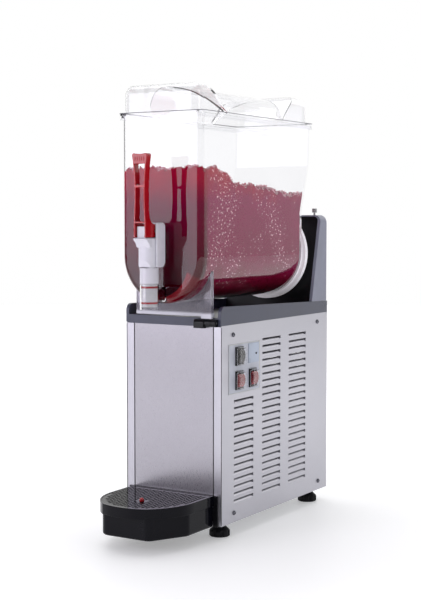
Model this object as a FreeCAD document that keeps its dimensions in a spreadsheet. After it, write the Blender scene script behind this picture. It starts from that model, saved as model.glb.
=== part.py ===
import FreeCAD, Part
import math
import os
import re

from FreeCAD import Placement, Rotation, Vector

# A single-bowl slush dispenser.  X runs across, Y from front to back, Z up; the origin is on the
# floor under the middle of the machine.  The front of the cabinet is at front_y, looking along -Y.

SIZES = {
    # cabinet
    "half_width": 100,
    "front_y": -127,
    "back_y": 279,
    "cabinet_bottom": 25,
    "cabinet_top": 376.5,
    "gauge": 1,
    "flange_width": 15.5,
    "front_panel_half": 82.5,
    "front_panel_top": 375,
    "return_depth": 12,
    "chassis_bottom": 26,
    "chassis_wall": 20,
    "chassis_gauge": 1.5,
    "foot_x": 75,
    "foot_front_y": -92,
    "foot_back_y": 244.5,
    "foot_radius": 18.5,
    "foot_height": 25,
    "stud_radius": 4,
    "stud_clearance": 0.1,
    "screw_head": 4.2,
    "screw_rise": 2.4,
    "screw_shank": 1.8,
    "louver_length": 71,
    "louver_height": 6.1,
    "louver_depth": 4.1,
    "louver_pitch": 12.7,
    "louver_base": 59,
    # deck and tower
    "deck_gauge": 5.5,
    "rail_width": 6,
    "rail_front_top": 410,
    "rail_back_top": 399,
    "bar_bottom": 375,
    "bar_top": 390.5,
    "bar_depth": 10,
    "deck_lip": 2,
    "tower_foot_y": 213,
    "tower_head_y": 248.5,
    "tower_back_y": 275,
    "tower_foot": 400,
    "tower_head": 560,
    "tower_top": 569,
    "tower_wall": 3,
    # refrigerated drum and drive
    "axis_height": 495,
    "drum_radius": 48,
    "drum_front_y": -65,
    "drum_back_y": 213.5,
    "drum_wall": 2,
    "flange_radius": 90,
    "flange_front_y": 204,
    "gasket_radius": 82,
    "boss_radius": 60,
    "boss_back_y": 248,
    "shaft_radius": 8,
    "shaft_front_y": -98,
    "shaft_back_y": 266,
    "auger_radius": 74,
    "auger_inner": 52,
    "auger_front_y": -76,
    "auger_back_y": 194,
    # bowl, lid and slush
    "bowl_half": 83,
    "bowl_wall": 3,
    "bowl_centre": 497,
    "bowl_front_y": -165,
    "bowl_back_low_y": 200,
    "bowl_back_high_y": 232,
    "bowl_top": 742,
    "bowl_corner": 10.5,
    "lid_half": 88,
    "lid_front_y": -170,
    "lid_back_y": 235,
    "lid_bottom": 735,
    "lid_shoulder": 747,
    "lid_top": 795,
    "lid_wall": 2.5,
    # tap
    "tap_y": -201,
    "tube_radius": 16.4,
    "tube_bore": 14.8,
    "tube_bottom": 406,
    "tube_top": 478,
    "piston_radius": 14.2,
    "rod_radius": 5,
    "pin_height": 541,
    "pin_radius": 2,
    "handle_depth": 13.5,
    "handle_top": 676,
    # drip tray
    "tray_half": 86,
    "tray_back_y": -130.3,
    "tray_front_y": -289,
    "tray_top": 79,
    "tray_bottom": 23,
    "tray_wall": 3,
    "band_bottom": 61,
    "grid_bottom": 74.5,
    "grid_thickness": 4,
    "float_y": -226,
    # controls on the right side
    "plate_gauge": 0.6,
    "plate_front_y": -103.5,
    "plate_length": 108.5,
    "plate_bottom": 254,
    "plate_height": 88,
    "switch_width": 25,
    "switch_height": 33,
    "switch_body_width": 21.6,
    "switch_body_height": 29.6,
    "switch_window_width": 20.4,
    "switch_window_height": 27.6,
    "bezel_rise": 2.4,
    "hood_rise": 8.4,
    "hood_wall": 1.2,
    # cooling system
    "fan_y": -14,
    "fan_height": 155,
    "fan_radius": 73,
    "compressor_y": 173,
    "compressor_radius": 62,
    "compressor_height": 150,
}

doc = FreeCAD.newDocument("slush_dispenser")
sheet = doc.addObject("Spreadsheet::Sheet", "Sizes")
for row, (alias, value) in enumerate(SIZES.items(), start=1):
    sheet.set(f"A{row}", alias)
    sheet.set(f"B{row}", str(value))
    sheet.setAlias(f"B{row}", alias)
doc.recompute()

NODES = []


class Cells:
    """Reads a driving dimension from the sheet by its alias."""

    def __getattr__(self, alias):
        return float(sheet.get(alias))


size = Cells()


def bound(text):
    """A sheet expression: every word in the text is the alias of a cell."""
    return re.sub(r"[a-z_]+", lambda word: "Sizes." + word.group(), str(text))


def node(label, item):
    """Names a finished sub-part; its label is also the name of its file."""
    item.Label = label
    NODES.append(item)
    return item


def place(item, base, turn=None):
    """Puts a primitive at a base point given as three expressions, turned about one axis."""
    if turn:
        item.Placement = Placement(Vector(), turn)
    for coordinate, text in zip("xyz", base):
        item.setExpression(".Placement.Base." + coordinate, bound(text))
    return item


def brick(name, base, edges):
    """A box from its low corner and its three edge lengths."""
    item = doc.addObject("Part::Box", name)
    for prop, text in zip(("Length", "Width", "Height"), edges):
        item.setExpression(prop, bound(text))
    return place(item, base)


AXIS_TURN = {
    "x": Rotation(Vector(0, 1, 0), 90),
    "y": Rotation(Vector(1, 0, 0), -90),
    "z": None,
}


def rod(name, axis, base, radius, length):
    """A cylinder that runs from its base point in the positive direction of one axis."""
    item = doc.addObject("Part::Cylinder", name)
    item.setExpression("Radius", bound(radius))
    item.setExpression("Height", bound(length))
    return place(item, base, AXIS_TURN[axis])


def cone(name, axis, base, radius_low, radius_high, length):
    """A cone frustum that runs from its base point in the positive direction of one axis."""
    item = doc.addObject("Part::Cone", name)
    item.setExpression("Radius1", bound(radius_low))
    item.setExpression("Radius2", bound(radius_high))
    item.setExpression("Height", bound(length))
    return place(item, base, AXIS_TURN[axis])


def fuse(name, *items):
    item = doc.addObject("Part::MultiFuse", name)
    item.Shapes = list(items)
    return item


def cut(name, base, *tools):
    """The base with every tool taken away."""
    item = doc.addObject("Part::Cut", name)
    item.Base = base
    item.Tool = tools[0] if len(tools) == 1 else fuse(name + "_tools", *tools)
    return item


def group(name, *items):
    """Identical loose pieces kept together as separate solids."""
    item = doc.addObject("Part::Compound", name)
    item.Links = list(items)
    return item


def rounded(name, base, radius, chosen):
    """The base with the edges that the test chooses rounded to one radius."""
    doc.recompute()
    item = doc.addObject("Part::Fillet", name)
    item.Base = base
    picks = [number for number, edge in enumerate(base.Shape.Edges, start=1) if chosen(edge)]
    item.Edges = [(number, radius, radius) for number in picks]
    return item


def feature(name, shape):
    """A document object around a shape worked out in code from the sheet's values."""
    item = doc.addObject("Part::Feature", name)
    item.Shape = shape
    return item


def along(edge, axis):
    """Whether an edge is straight and runs along one axis."""
    if not isinstance(edge.Curve, Part.Line):
        return False
    return abs(abs(edge.tangentAt(edge.FirstParameter).dot(axis)) - 1) < 1e-6


def prism(points, sweep):
    """A straight extrusion of a closed outline of points."""
    outline = Part.makePolygon([*points, points[0]])
    return Part.Face(outline).extrude(sweep)


def box(low, high):
    return Part.makeBox(*(high - low), low)


def tube_along(points, radius, bend):
    """A round tube on straight runs joined by tangent arcs of one bend radius."""
    edges = []
    start = points[0]
    for before, corner, after in zip(points, points[1:], points[2:]):
        arrive = (corner - before).normalize()
        leave = (after - corner).normalize()
        reach = bend * math.tan(arrive.getAngle(leave) / 2)
        entry = corner - arrive * reach
        exit_point = corner + leave * reach
        bisector = (leave - arrive).normalize()
        centre = corner + bisector * math.hypot(reach, bend)
        middle = centre - bisector * bend
        edges.append(Part.makeLine(start, entry))
        edges.append(Part.Arc(entry, middle, exit_point).toShape())
        start = exit_point
    edges.append(Part.makeLine(start, points[-1]))
    path = Part.Wire(edges)
    section = Part.Wire(Part.makeCircle(radius, points[0], points[1] - points[0]))
    return path.makePipeShell([section], True, False)


def helix_along_y(pitch, length, radius):
    """A helix about the Y axis, from y = 0 to y = length."""
    spiral = Part.makeHelix(pitch, length, radius)
    spiral.rotate(Vector(), Vector(1, 0, 0), -90)
    return spiral


# ---------------------------------------------------------------- cabinet

SIDE_SCREWS = [(39.5, 359), (363, 360), (42.7, 42), (369.6, 42.5)]
LOUVER_COLUMNS = [41.5, 143, 244.5]
GLAND_X = 55
GLAND_HEIGHT = 70
SWITCHES = [("black", 58.2, 320), ("red_front", 58.2, 277), ("red_rear", 106, 277)]


def louver_scoop(length, height, depth, gauge):
    """One pressed louver: a lip that leans inwards as it rises, closed by a cheek at each end.
    It lies on the plane x = 0, goes inwards along -X and runs along +Y."""
    overlap = 0.3
    slant = gauge * 1.4
    lip_top = height - 1.5
    lip = prism(
        [
            Vector(0, 0, -overlap),
            Vector(-gauge, 0, -overlap),
            Vector(-slant, 0, 0),
            Vector(-slant - depth, 0, lip_top),
            Vector(-depth, 0, lip_top),
            Vector(0, 0, 0),
        ],
        Vector(0, length, 0),
    )
    cheeks = []
    for start in (0, length - gauge):
        corners = [
            Vector(0, start, -overlap),
            Vector(0, start, height + overlap),
            Vector(-gauge, start, height + overlap),
            Vector(-slant - depth, start, lip_top),
            Vector(-slant, start, 0),
        ]
        cheeks.append(prism(corners, Vector(0, gauge, 0)))
    return lip.fuse(cheeks).removeSplitter()


def side_panel(side, short_columns):
    """A side sheet with front and rear flanges, screw holes and columns of pressed louvers.
    It is drawn as the right side and mirrored for the left."""
    half = size.half_width
    gauge = size.gauge
    front = size.front_y
    back = size.back_y
    low = size.cabinet_bottom
    high = size.cabinet_top
    inner = half - size.flange_width
    panel = box(Vector(half - gauge, front, low), Vector(half, back, high))
    front_flange = box(Vector(inner, front, low), Vector(half, front + gauge, size.front_panel_top))
    back_flange = box(Vector(inner, back - gauge, low), Vector(half, back, high))
    panel = panel.fuse([front_flange, back_flange]).removeSplitter()
    scoop = louver_scoop(size.louver_length, size.louver_height, size.louver_depth, gauge)
    mouth = box(Vector(-2 * gauge, 0, 0), Vector(gauge, size.louver_length, size.louver_height))
    scoops = []
    openings = []
    for column, offset in enumerate(LOUVER_COLUMNS):
        rows = 15 if short_columns and column == 0 else 23
        for row_number in range(rows):
            height = size.louver_base + row_number * size.louver_pitch
            spot = Vector(half, front + offset, height)
            scoops.append(scoop.translated(spot))
            openings.append(mouth.translated(spot))
    for offset, height in SIDE_SCREWS:
        spot = Vector(half - 2 * gauge, front + offset, height)
        openings.append(Part.makeCylinder(size.screw_shank, 4 * gauge, spot, Vector(1, 0, 0)))
    if short_columns:
        for _, offset, height in SWITCHES:
            reach = Vector(3, size.switch_body_width / 2, size.switch_body_height / 2)
            spot = Vector(half, front + offset, height)
            openings.append(box(spot - reach, spot + reach))
    panel = panel.cut(Part.makeCompound(openings)).fuse(scoops)
    if side < 0:
        panel = panel.mirror(Vector(), Vector(1, 0, 0))
    return panel


node("side_panel_right", feature("RightPanel", side_panel(1, True)))
node("side_panel_left", feature("LeftPanel", side_panel(-1, False)))

front_sheet = brick(
    "FrontSheet",
    ("-front_panel_half", "front_y", "cabinet_bottom"),
    ("2 * front_panel_half", "return_depth", "front_panel_top - cabinet_bottom"),
)
front_hollow = brick(
    "FrontHollow",
    ("-front_panel_half + gauge", "front_y + gauge", "cabinet_bottom - 1"),
    ("2 * front_panel_half - 2 * gauge", "return_depth", "front_panel_top - cabinet_bottom - gauge + 1"),
)
node("front_panel", cut("FrontPanel", front_sheet, front_hollow))


def rear_panel():
    """A flat sheet between the side panels' rear flanges, with vent slots and a cable hole."""
    half = size.half_width - size.flange_width
    back = size.back_y
    panel = box(Vector(-half, back - size.gauge, size.cabinet_bottom), Vector(half, back, size.cabinet_top))
    slot_length = 60
    slots = []
    for left in (-70, 10):
        for row_number in range(14):
            height = 130 + row_number * 2 * size.louver_height
            low = Vector(left, back - 2, height)
            slots.append(box(low, low + Vector(slot_length, 4, size.louver_height * 0.7)))
    slots.append(Part.makeCylinder(7, 6, Vector(GLAND_X, back - 3, GLAND_HEIGHT), Vector(0, 1, 0)))
    return panel.cut(Part.makeCompound(slots))


node("rear_panel", feature("RearPanel", rear_panel()))

pan = brick(
    "Pan",
    ("-half_width + gauge", "front_y + return_depth + gauge", "chassis_bottom"),
    ("2 * half_width - 2 * gauge", "back_y - front_y - return_depth - 2 * gauge", "chassis_wall"),
)
pan_hollow = brick(
    "PanHollow",
    (
        "-half_width + gauge + chassis_gauge",
        "front_y + return_depth + gauge + chassis_gauge",
        "chassis_bottom + chassis_gauge",
    ),
    (
        "2 * half_width - 2 * gauge - 2 * chassis_gauge",
        "back_y - front_y - return_depth - 2 * gauge - 2 * chassis_gauge",
        "chassis_wall",
    ),
)
FEET = {
    "front_left": ("-foot_x", "foot_front_y"),
    "front_right": ("foot_x", "foot_front_y"),
    "rear_left": ("-foot_x", "foot_back_y"),
    "rear_right": ("foot_x", "foot_back_y"),
}
chassis_holes = []
nuts = []
for corner, (across, deep) in FEET.items():
    hole = rod(
        "FootHole_" + corner,
        "z",
        (across, deep, "chassis_bottom - 1"),
        "stud_radius + stud_clearance",
        "4 * chassis_gauge",
    )
    chassis_holes.append(hole)
    nut_body = doc.addObject("Part::Prism", "NutBody_" + corner)
    nut_body.Polygon = 6
    nut_body.setExpression("Circumradius", bound("stud_radius * 1.85"))
    nut_body.setExpression("Height", bound("stud_radius * 1.5"))
    place(nut_body, (across, deep, "chassis_bottom + chassis_gauge"))
    nut_hole = rod(
        "NutHole_" + corner,
        "z",
        (across, deep, "chassis_bottom"),
        "stud_radius + stud_clearance",
        "stud_radius * 4",
    )
    nuts.append(cut("Nut_" + corner, nut_body, nut_hole))
for step, (offset, height) in enumerate(SIDE_SCREWS[2:]):
    hole = rod(
        f"ScrewHole{step}",
        "x",
        ("-half_width", f"front_y + {offset}", height),
        "screw_shank + 0.1",
        "2 * half_width",
    )
    chassis_holes.append(hole)
node("base_chassis", cut("BaseChassis", pan, pan_hollow, *chassis_holes))
node("foot_nuts", group("FootNuts", *nuts))


def plane_of(body, role):
    """One of a body's own origin planes, found by its role."""
    return next(plane for plane in body.Origin.OriginFeatures if plane.Role == role)


def sketch_on(body, name, role, offset=0):
    """A sketch on an origin plane of its body, lifted off it by an offset."""
    sketch = body.newObject("Sketcher::SketchObject", name)
    sketch.AttachmentSupport = [(plane_of(body, role), "")]
    sketch.MapMode = "FlatFace"
    sketch.AttachmentOffset = Placement(Vector(0, 0, offset), Rotation())
    return sketch


def closed(sketch, points):
    """Draws a closed outline of straight lines through the points."""
    corners = [Vector(across, up, 0) for across, up in points]
    for start, end in zip(corners, corners[1:] + corners[:1]):
        sketch.addGeometry(Part.LineSegment(start, end), False)


LOBES = 8


def foot(label, across, deep):
    """A lobed levelling foot with its stud: a turned bell with grooves for the fingers."""
    body = doc.addObject("PartDesign::Body", "Foot_" + label)
    radius = size.foot_radius
    height = size.foot_height
    profile = sketch_on(body, "FootProfile_" + label, "XZ_Plane")
    closed(
        profile,
        [
            (0, 0),
            (radius - 1.2, 0),
            (radius, 1.4),
            (radius, 9.5),
            (radius - 1.5, 12),
            (radius - 5, 15),
            (radius - 8, 18.5),
            (radius - 8, height),
            (size.stud_radius, height),
            (size.stud_radius, 2 * height),
            (0, 2 * height),
        ],
    )
    turned = body.newObject("PartDesign::Revolution", "FootTurned_" + label)
    turned.Profile = profile
    turned.ReferenceAxis = (profile, ["V_Axis"])
    turned.Angle = 360
    finger = sketch_on(body, "FingerCut_" + label, "XY_Plane", 2.5)
    finger.addGeometry(Part.Circle(Vector(radius + 2.2, 0, 0), Vector(0, 0, 1), 4.2), False)
    doc.recompute()
    groove = body.newObject("PartDesign::Pocket", "FingerGroove_" + label)
    groove.Profile = finger
    groove.Length = height
    groove.Reversed = True
    doc.recompute()
    lobes = body.newObject("PartDesign::PolarPattern", "FingerGrooves_" + label)
    lobes.Originals = [groove]
    lobes.Axis = (finger, ["N_Axis"])
    lobes.Angle = 360
    lobes.Occurrences = LOBES
    body.Tip = lobes
    body.setExpression(".Placement.Base.x", bound(across))
    body.setExpression(".Placement.Base.y", bound(deep))
    return body


for corner, (across, deep) in FEET.items():
    node("foot_" + corner, foot(corner, across, deep))


def panel_screws():
    """Pan-head cross-slot screws that hold the side panels, as separate solids."""
    rise = size.screw_rise
    head = size.screw_head
    slot = 1.1
    screws = []
    for side in (-1, 1):
        outwards = Vector(side, 0, 0)
        for offset, height in SIDE_SCREWS:
            spot = Vector(side * size.half_width, size.front_y + offset, height)
            rim = Part.makeCylinder(head, rise / 2, spot, outwards)
            crown = Part.makeCone(head, head * 0.7, rise / 2, spot + outwards * (rise / 2), outwards)
            cap = rim.fuse(crown)
            shank = Part.makeCylinder(size.screw_shank, 8, spot - outwards * 7, outwards)
            screw = cap.fuse(shank)
            face = spot + outwards * (rise / 2)
            for wide, tall in ((head * 1.3, slot), (slot, head * 1.3)):
                reach = Vector(0, wide / 2, tall / 2)
                low = face - reach
                high = face + reach
                ends = sorted((face.x, face.x + side * rise))
                screw = screw.cut(box(Vector(ends[0], low.y, low.z), Vector(ends[1], high.y, high.z)))
            screws.append(screw)
    return Part.makeCompound(screws)


node("panel_screws", feature("PanelScrews", panel_screws()))


# ---------------------------------------------------------------- deck and tower

LATCH_HEIGHT = 381.5
LATCH_RADIUS = 6.6
LATCH_FORWARD = 5.5
LATCH_INNER_X = 50
LATCH_OUTER_X = 84
KNUCKLE_INNER_X = 84.7
KNUCKLE_OUTER_X = 93.5


def top_deck():
    """The moulded deck: a plate with two side rails that slope down to the rear, a front bar with a
    recess for the latch, and an opening under the tower for the gearbox and pipes."""
    half = size.half_width
    front = size.front_y - size.deck_lip
    back = size.back_y
    low = size.cabinet_top
    plate = box(Vector(-half, front, low), Vector(half, back, low + size.deck_gauge))
    rail_run = Vector(size.rail_width, 0, 0)
    rails = []
    for left in (-half, half - size.rail_width):
        rail = prism(
            [
                Vector(left, front, low),
                Vector(left, back, low),
                Vector(left, back, size.rail_back_top),
                Vector(left, front, size.rail_front_top),
            ],
            rail_run,
        )
        shoulder = [
            edge
            for edge in rail.Edges
            if along(edge, Vector(1, 0, 0)) and edge.CenterOfMass.z > size.rail_front_top - 1
        ]
        rails.append(rail.makeFillet(12, shoulder))
    bar_half = half - size.rail_width
    bar = box(
        Vector(-bar_half, front, low),
        Vector(bar_half, front + size.bar_depth, size.bar_top),
    )
    lip = box(
        Vector(-bar_half, front, size.bar_bottom),
        Vector(bar_half, size.front_y, low),
    )
    recess = Part.makeCylinder(
        LATCH_RADIUS + 0.6,
        KNUCKLE_OUTER_X - LATCH_INNER_X + 1,
        Vector(LATCH_INNER_X - 0.5, size.front_y - LATCH_FORWARD, LATCH_HEIGHT),
        Vector(1, 0, 0),
    )
    opening = box(Vector(-62, back - 62, low - 1), Vector(62, back - 6, low + 2 * size.deck_gauge))
    return plate.fuse([*rails, bar, lip]).removeSplitter().cut([recess, opening])


ADJUSTER_X = 80
ADJUSTER_Y = 261


def rail_top(deep):
    """The height of the side rails' sloping top at a depth."""
    front = size.front_y - size.deck_lip
    fall = (size.rail_front_top - size.rail_back_top) / (size.back_y - front)
    return size.rail_front_top - fall * (deep - front)


def tower_cover():
    """The grey cover: two side walls that lean back with the front plate, a rear wall and a top."""
    half = size.half_width
    outline = [
        (size.tower_foot_y, rail_top(size.tower_foot_y) + 0.2),
        (size.tower_head_y, size.tower_head),
        (size.tower_head_y + 3, size.tower_top),
        (size.tower_back_y, size.tower_top),
        (size.tower_back_y, rail_top(size.tower_back_y) + 0.2),
    ]
    outer = prism([Vector(-half, deep, up) for deep, up in outline], Vector(2 * half, 0, 0))
    crown = [
        edge
        for edge in outer.Edges
        if along(edge, Vector(0, 1, 0)) and edge.CenterOfMass.z > size.tower_top - 1
    ]
    outer = outer.makeFillet(15, crown)
    inner_half = half - size.rail_width
    inner_top = size.tower_top - size.tower_wall
    hollow = box(
        Vector(-inner_half, size.tower_foot_y - 10, size.tower_foot - 10),
        Vector(inner_half, size.tower_back_y - size.tower_wall, inner_top),
    )
    hollow_crown = [
        edge
        for edge in hollow.Edges
        if along(edge, Vector(0, 1, 0)) and edge.CenterOfMass.z > inner_top - 1
    ]
    hollow = hollow.makeFillet(9, hollow_crown)
    screw_hole = Part.makeCylinder(2.1, 20, Vector(ADJUSTER_X, ADJUSTER_Y, size.tower_top - 10))
    skirt = box(
        Vector(-inner_half + 0.2, size.tower_back_y - size.tower_wall, size.cabinet_top + size.deck_gauge),
        Vector(inner_half - 0.2, size.tower_back_y, size.tower_foot + 5),
    )
    return outer.cut([hollow, screw_hole]).fuse(skirt).removeSplitter()


def tower_front():
    """The black plate that leans back between the cover's side walls, with a round opening for the drum."""
    half = size.half_width - size.rail_width - 0.2
    lean = (size.tower_head_y - size.tower_foot_y) / (size.tower_head - size.tower_foot)
    low = size.cabinet_top + size.deck_gauge
    high = size.tower_top - size.tower_wall
    gauge = 2.5

    def face_y(height):
        return size.tower_foot_y + lean * (height - size.tower_foot)

    plate = prism(
        [
            Vector(-half, face_y(low), low),
            Vector(-half, face_y(low) + gauge, low),
            Vector(-half, face_y(high) + gauge, high),
            Vector(-half, face_y(high), high),
        ],
        Vector(2 * half, 0, 0),
    )
    crown = [
        edge
        for edge in plate.Edges
        if edge.CenterOfMass.z > high - 1 and abs(abs(edge.CenterOfMass.x) - half) < 1e-3
    ]
    plate = plate.makeFillet(9.5, crown)
    opening = Part.makeCylinder(
        size.boss_radius + 0.5,
        80,
        Vector(0, size.flange_front_y, size.axis_height),
        Vector(0, 1, 0),
    )
    return plate.cut(opening)


node("top_deck", feature("TopDeck", top_deck()))
node("tower_cover", feature("TowerCover", tower_cover()))
node("tower_front", feature("TowerFront", tower_front()))

adjuster_stem = rod("AdjusterStem", "z", (ADJUSTER_X, ADJUSTER_Y, "tower_top - 12"), "pin_radius", "17")
adjuster_cap = rod("AdjusterCap", "z", (ADJUSTER_X, ADJUSTER_Y, "tower_top + 5"), "4.75", "8")
grooves = []
for step in range(12):
    angle = math.radians(30 * step)
    groove = rod(
        f"AdjusterGroove{step}",
        "z",
        (ADJUSTER_X + 5 * math.cos(angle), ADJUSTER_Y + 5 * math.sin(angle), "tower_top + 4"),
        "0.7",
        "10",
    )
    grooves.append(groove)
node("adjusting_screw", cut("AdjustingScrew", fuse("AdjusterBlank", adjuster_stem, adjuster_cap), *grooves))

latch_axis = ("front_y - " + str(LATCH_FORWARD), LATCH_HEIGHT)


def latch():
    """The bowl latch: a barrel on a cross pin with a thumb tab that hangs in front of the cabinet."""
    axis_y = size.front_y - LATCH_FORWARD
    start = Vector(LATCH_INNER_X, axis_y, LATCH_HEIGHT)
    across = Vector(1, 0, 0)
    thumb = Part.makeCylinder(LATCH_RADIUS, 20, start, across)
    neck = Part.makeCylinder(LATCH_RADIUS - 1.5, 3, start + across * 20, across)
    barrel = Part.makeCylinder(LATCH_RADIUS, 11, start + across * 23, across)
    tab = box(
        Vector(LATCH_INNER_X, axis_y - LATCH_RADIUS, LATCH_HEIGHT - 9),
        Vector(LATCH_INNER_X + 20, size.front_y - size.deck_lip - 0.4, LATCH_HEIGHT),
    )
    bore = Part.makeCylinder(size.pin_radius + 0.05, 60, start - across, across)
    return thumb.fuse([neck, barrel, tab]).cut(bore)


node("bowl_latch", feature("BowlLatch", latch()))
knuckle = rod(
    "Knuckle",
    "x",
    (KNUCKLE_INNER_X, *latch_axis),
    LATCH_RADIUS,
    KNUCKLE_OUTER_X - KNUCKLE_INNER_X,
)
knuckle_bore = rod("KnuckleBore", "x", (KNUCKLE_INNER_X - 1, *latch_axis), "pin_radius", 12)
node("latch_knuckle", cut("LatchKnuckle", knuckle, knuckle_bore))
node("latch_pin", rod("LatchPin", "x", (LATCH_INNER_X, *latch_axis), "pin_radius", 43))

# ---------------------------------------------------------------- refrigerated drum and drive

drum_outer = rod(
    "DrumOuter",
    "y",
    (0, "drum_front_y", "axis_height"),
    "drum_radius",
    "drum_back_y - drum_front_y",
)
drum_hollow = rod(
    "DrumHollow",
    "y",
    (0, "drum_front_y + drum_wall", "axis_height"),
    "drum_radius - drum_wall",
    "drum_back_y - drum_front_y",
)
drum_core = rod(
    "DrumCore",
    "y",
    (0, "drum_front_y", "axis_height"),
    "shaft_radius + 3",
    "drum_back_y - drum_front_y",
)
drum_bore = rod(
    "DrumBore",
    "y",
    (0, "drum_front_y - 1", "axis_height"),
    "shaft_radius + 0.6",
    "drum_back_y - drum_front_y + 2",
)
drum_shell = cut("DrumShell", drum_outer, drum_hollow)
node("evaporator_drum", cut("EvaporatorDrum", fuse("DrumWelded", drum_shell, drum_core), drum_bore))

flange_disc = rod(
    "FlangeDisc",
    "y",
    (0, "flange_front_y", "axis_height"),
    "flange_radius",
    "drum_back_y - flange_front_y",
)
flange_boss = rod(
    "FlangeBoss",
    "y",
    (0, "drum_back_y", "axis_height"),
    "boss_radius",
    "boss_back_y - drum_back_y",
)
flange_seat = rod(
    "FlangeSeat",
    "y",
    (0, "flange_front_y - 1", "axis_height"),
    "drum_radius",
    "drum_back_y - flange_front_y + 1",
)
flange_bore = rod(
    "FlangeBore",
    "y",
    (0, "flange_front_y", "axis_height"),
    "shaft_radius + 12",
    "boss_back_y - flange_front_y + 1",
)
flange_solid = fuse("FlangeSolid", flange_disc, flange_boss)
node("drum_flange", cut("DrumFlange", flange_solid, flange_seat, flange_bore))

gasket_ring = rod(
    "GasketRing",
    "y",
    (0, "bowl_back_low_y + 1", "axis_height"),
    "gasket_radius",
    "flange_front_y - bowl_back_low_y - 1",
)
gasket_bore = rod(
    "GasketBore",
    "y",
    (0, "bowl_back_low_y", "axis_height"),
    "auger_radius + 3",
    "flange_front_y - bowl_back_low_y + 1",
)
node("bowl_gasket", cut("BowlGasket", gasket_ring, gasket_bore))

seal_ring = rod("SealRing", "y", (0, "drum_front_y - 6", "axis_height"), "shaft_radius + 7", "6")
seal_bore = rod(
    "SealBore",
    "y",
    (0, "drum_front_y - 7", "axis_height"),
    "shaft_radius + 0.08",
    "8",
)
node("shaft_seal", cut("ShaftSeal", seal_ring, seal_bore))

node(
    "drive_shaft",
    rod(
        "DriveShaft",
        "y",
        (0, "shaft_front_y", "axis_height"),
        "shaft_radius",
        "shaft_back_y - shaft_front_y",
    ),
)


def auger():
    """The scraper spiral: a helical blade about the drum, carried by a two-armed hub at the front
    and stiffened by a ring at the rear."""
    length = size.auger_back_y - size.auger_front_y
    pitch = length / 3
    middle = (size.auger_radius + size.auger_inner) / 2
    reach = (size.auger_radius - size.auger_inner) / 2
    blade_half = 2
    spine = helix_along_y(pitch, length, middle)
    start = spine.Vertexes[0].Point
    outwards = Vector(start.x, 0, start.z).normalize()
    lengthways = Vector(0, 1, 0)
    section = Part.makePolygon(
        [
            start + outwards * reach + lengthways * blade_half,
            start + outwards * reach - lengthways * blade_half,
            start - outwards * reach - lengthways * blade_half,
            start - outwards * reach + lengthways * blade_half,
            start + outwards * reach + lengthways * blade_half,
        ]
    )
    blade = Part.Wire(spine.Edges).makePipeShell([section], True, True)
    arm_depth = 8
    hub_length = 20
    hub = Part.makeCylinder(18, hub_length, Vector(0, -hub_length, 0), lengthways)
    arm = box(
        Vector(-size.auger_radius + 1, -4, -7),
        Vector(size.auger_radius - 1, -4 + arm_depth, 7),
    )
    arms = arm.fuse(hub)
    ring = Part.makeCylinder(size.auger_radius + 0.6, 12, Vector(0, length - 9, 0), lengthways)
    ring = ring.cut(Part.makeCylinder(size.auger_radius - 8, 20, Vector(0, length - 12, 0), lengthways))
    # The ring is turned so that its seam stays off the end of the blade.
    ring.rotate(Vector(), lengthways, 37)
    bore = Part.makeCylinder(size.shaft_radius, 60, Vector(0, -40, 0), lengthways)
    whole = arms.fuse([blade, ring]).cut(bore)
    return whole.translated(Vector(0, size.auger_front_y, size.axis_height))


node("auger", feature("Auger", auger()))

gear_case = brick("GearCase", (-42, "back_y - 29", 300), (84, 20, 245))
gear_case_soft = rounded("GearCaseSoft", gear_case, 12, lambda edge: along(edge, Vector(0, 1, 0)))
gear_neck = rod("GearNeck", "y", (0, "boss_back_y - 8", "axis_height"), "shaft_radius + 11", "12")
gear_bore = rod("GearBore", "y", (0, "boss_back_y - 9", "axis_height"), "shaft_radius + 0.08", "40")
node("gearbox", cut("Gearbox", fuse("GearboxSolid", gear_case_soft, gear_neck), gear_bore))
motor_body = rod("MotorBody", "y", (0, "back_y - 109", 335), 38, 80)
node("drive_motor", rounded("DriveMotor", motor_body, 4, lambda edge: edge.Closed))

# ---------------------------------------------------------------- bowl, slush and lid


def trough(inset, front, back_low, back_high, top):
    """The bowl's form: a U-shaped trough with upright sides and a rear wall that leans out.
    The inset shrinks its half width and its corner radius."""
    half = size.bowl_half - inset
    centre = size.bowl_centre
    section = Part.Wire(
        [
            Part.makeLine(Vector(-half, 0, top), Vector(-half, 0, centre)),
            Part.Arc(Vector(-half, 0, centre), Vector(0, 0, centre - half), Vector(half, 0, centre)).toShape(),
            Part.makeLine(Vector(half, 0, centre), Vector(half, 0, top)),
            Part.makeLine(Vector(half, 0, top), Vector(-half, 0, top)),
        ]
    )
    length = back_high - front
    form = Part.Face(section).extrude(Vector(0, length, 0)).translated(Vector(0, front, 0))
    lower_bend = centre + 80
    upper_bend = centre + 168
    low = centre - half - 5
    rear = prism(
        [
            Vector(-2 * half, front - 1, low),
            Vector(-2 * half, back_low, low),
            Vector(-2 * half, back_low, lower_bend),
            Vector(-2 * half, back_high - 3, upper_bend),
            Vector(-2 * half, back_high, top + 1),
            Vector(-2 * half, front - 1, top + 1),
        ],
        Vector(4 * half, 0, 0),
    )
    bends = [
        edge
        for edge in rear.Edges
        if along(edge, Vector(1, 0, 0))
        and edge.CenterOfMass.y > back_low - 1
        and lower_bend - 1 < edge.CenterOfMass.z < upper_bend + 1
    ]
    form = form.common(rear.makeFillet(70, bends))
    corners = [
        edge
        for edge in form.Edges
        if edge.BoundBox.YLength < 1e-3
        and abs(edge.CenterOfMass.y - front) < 1e-3
        and edge.BoundBox.ZLength > 1
    ]
    return form.makeFillet(size.bowl_corner - inset, corners)


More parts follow.
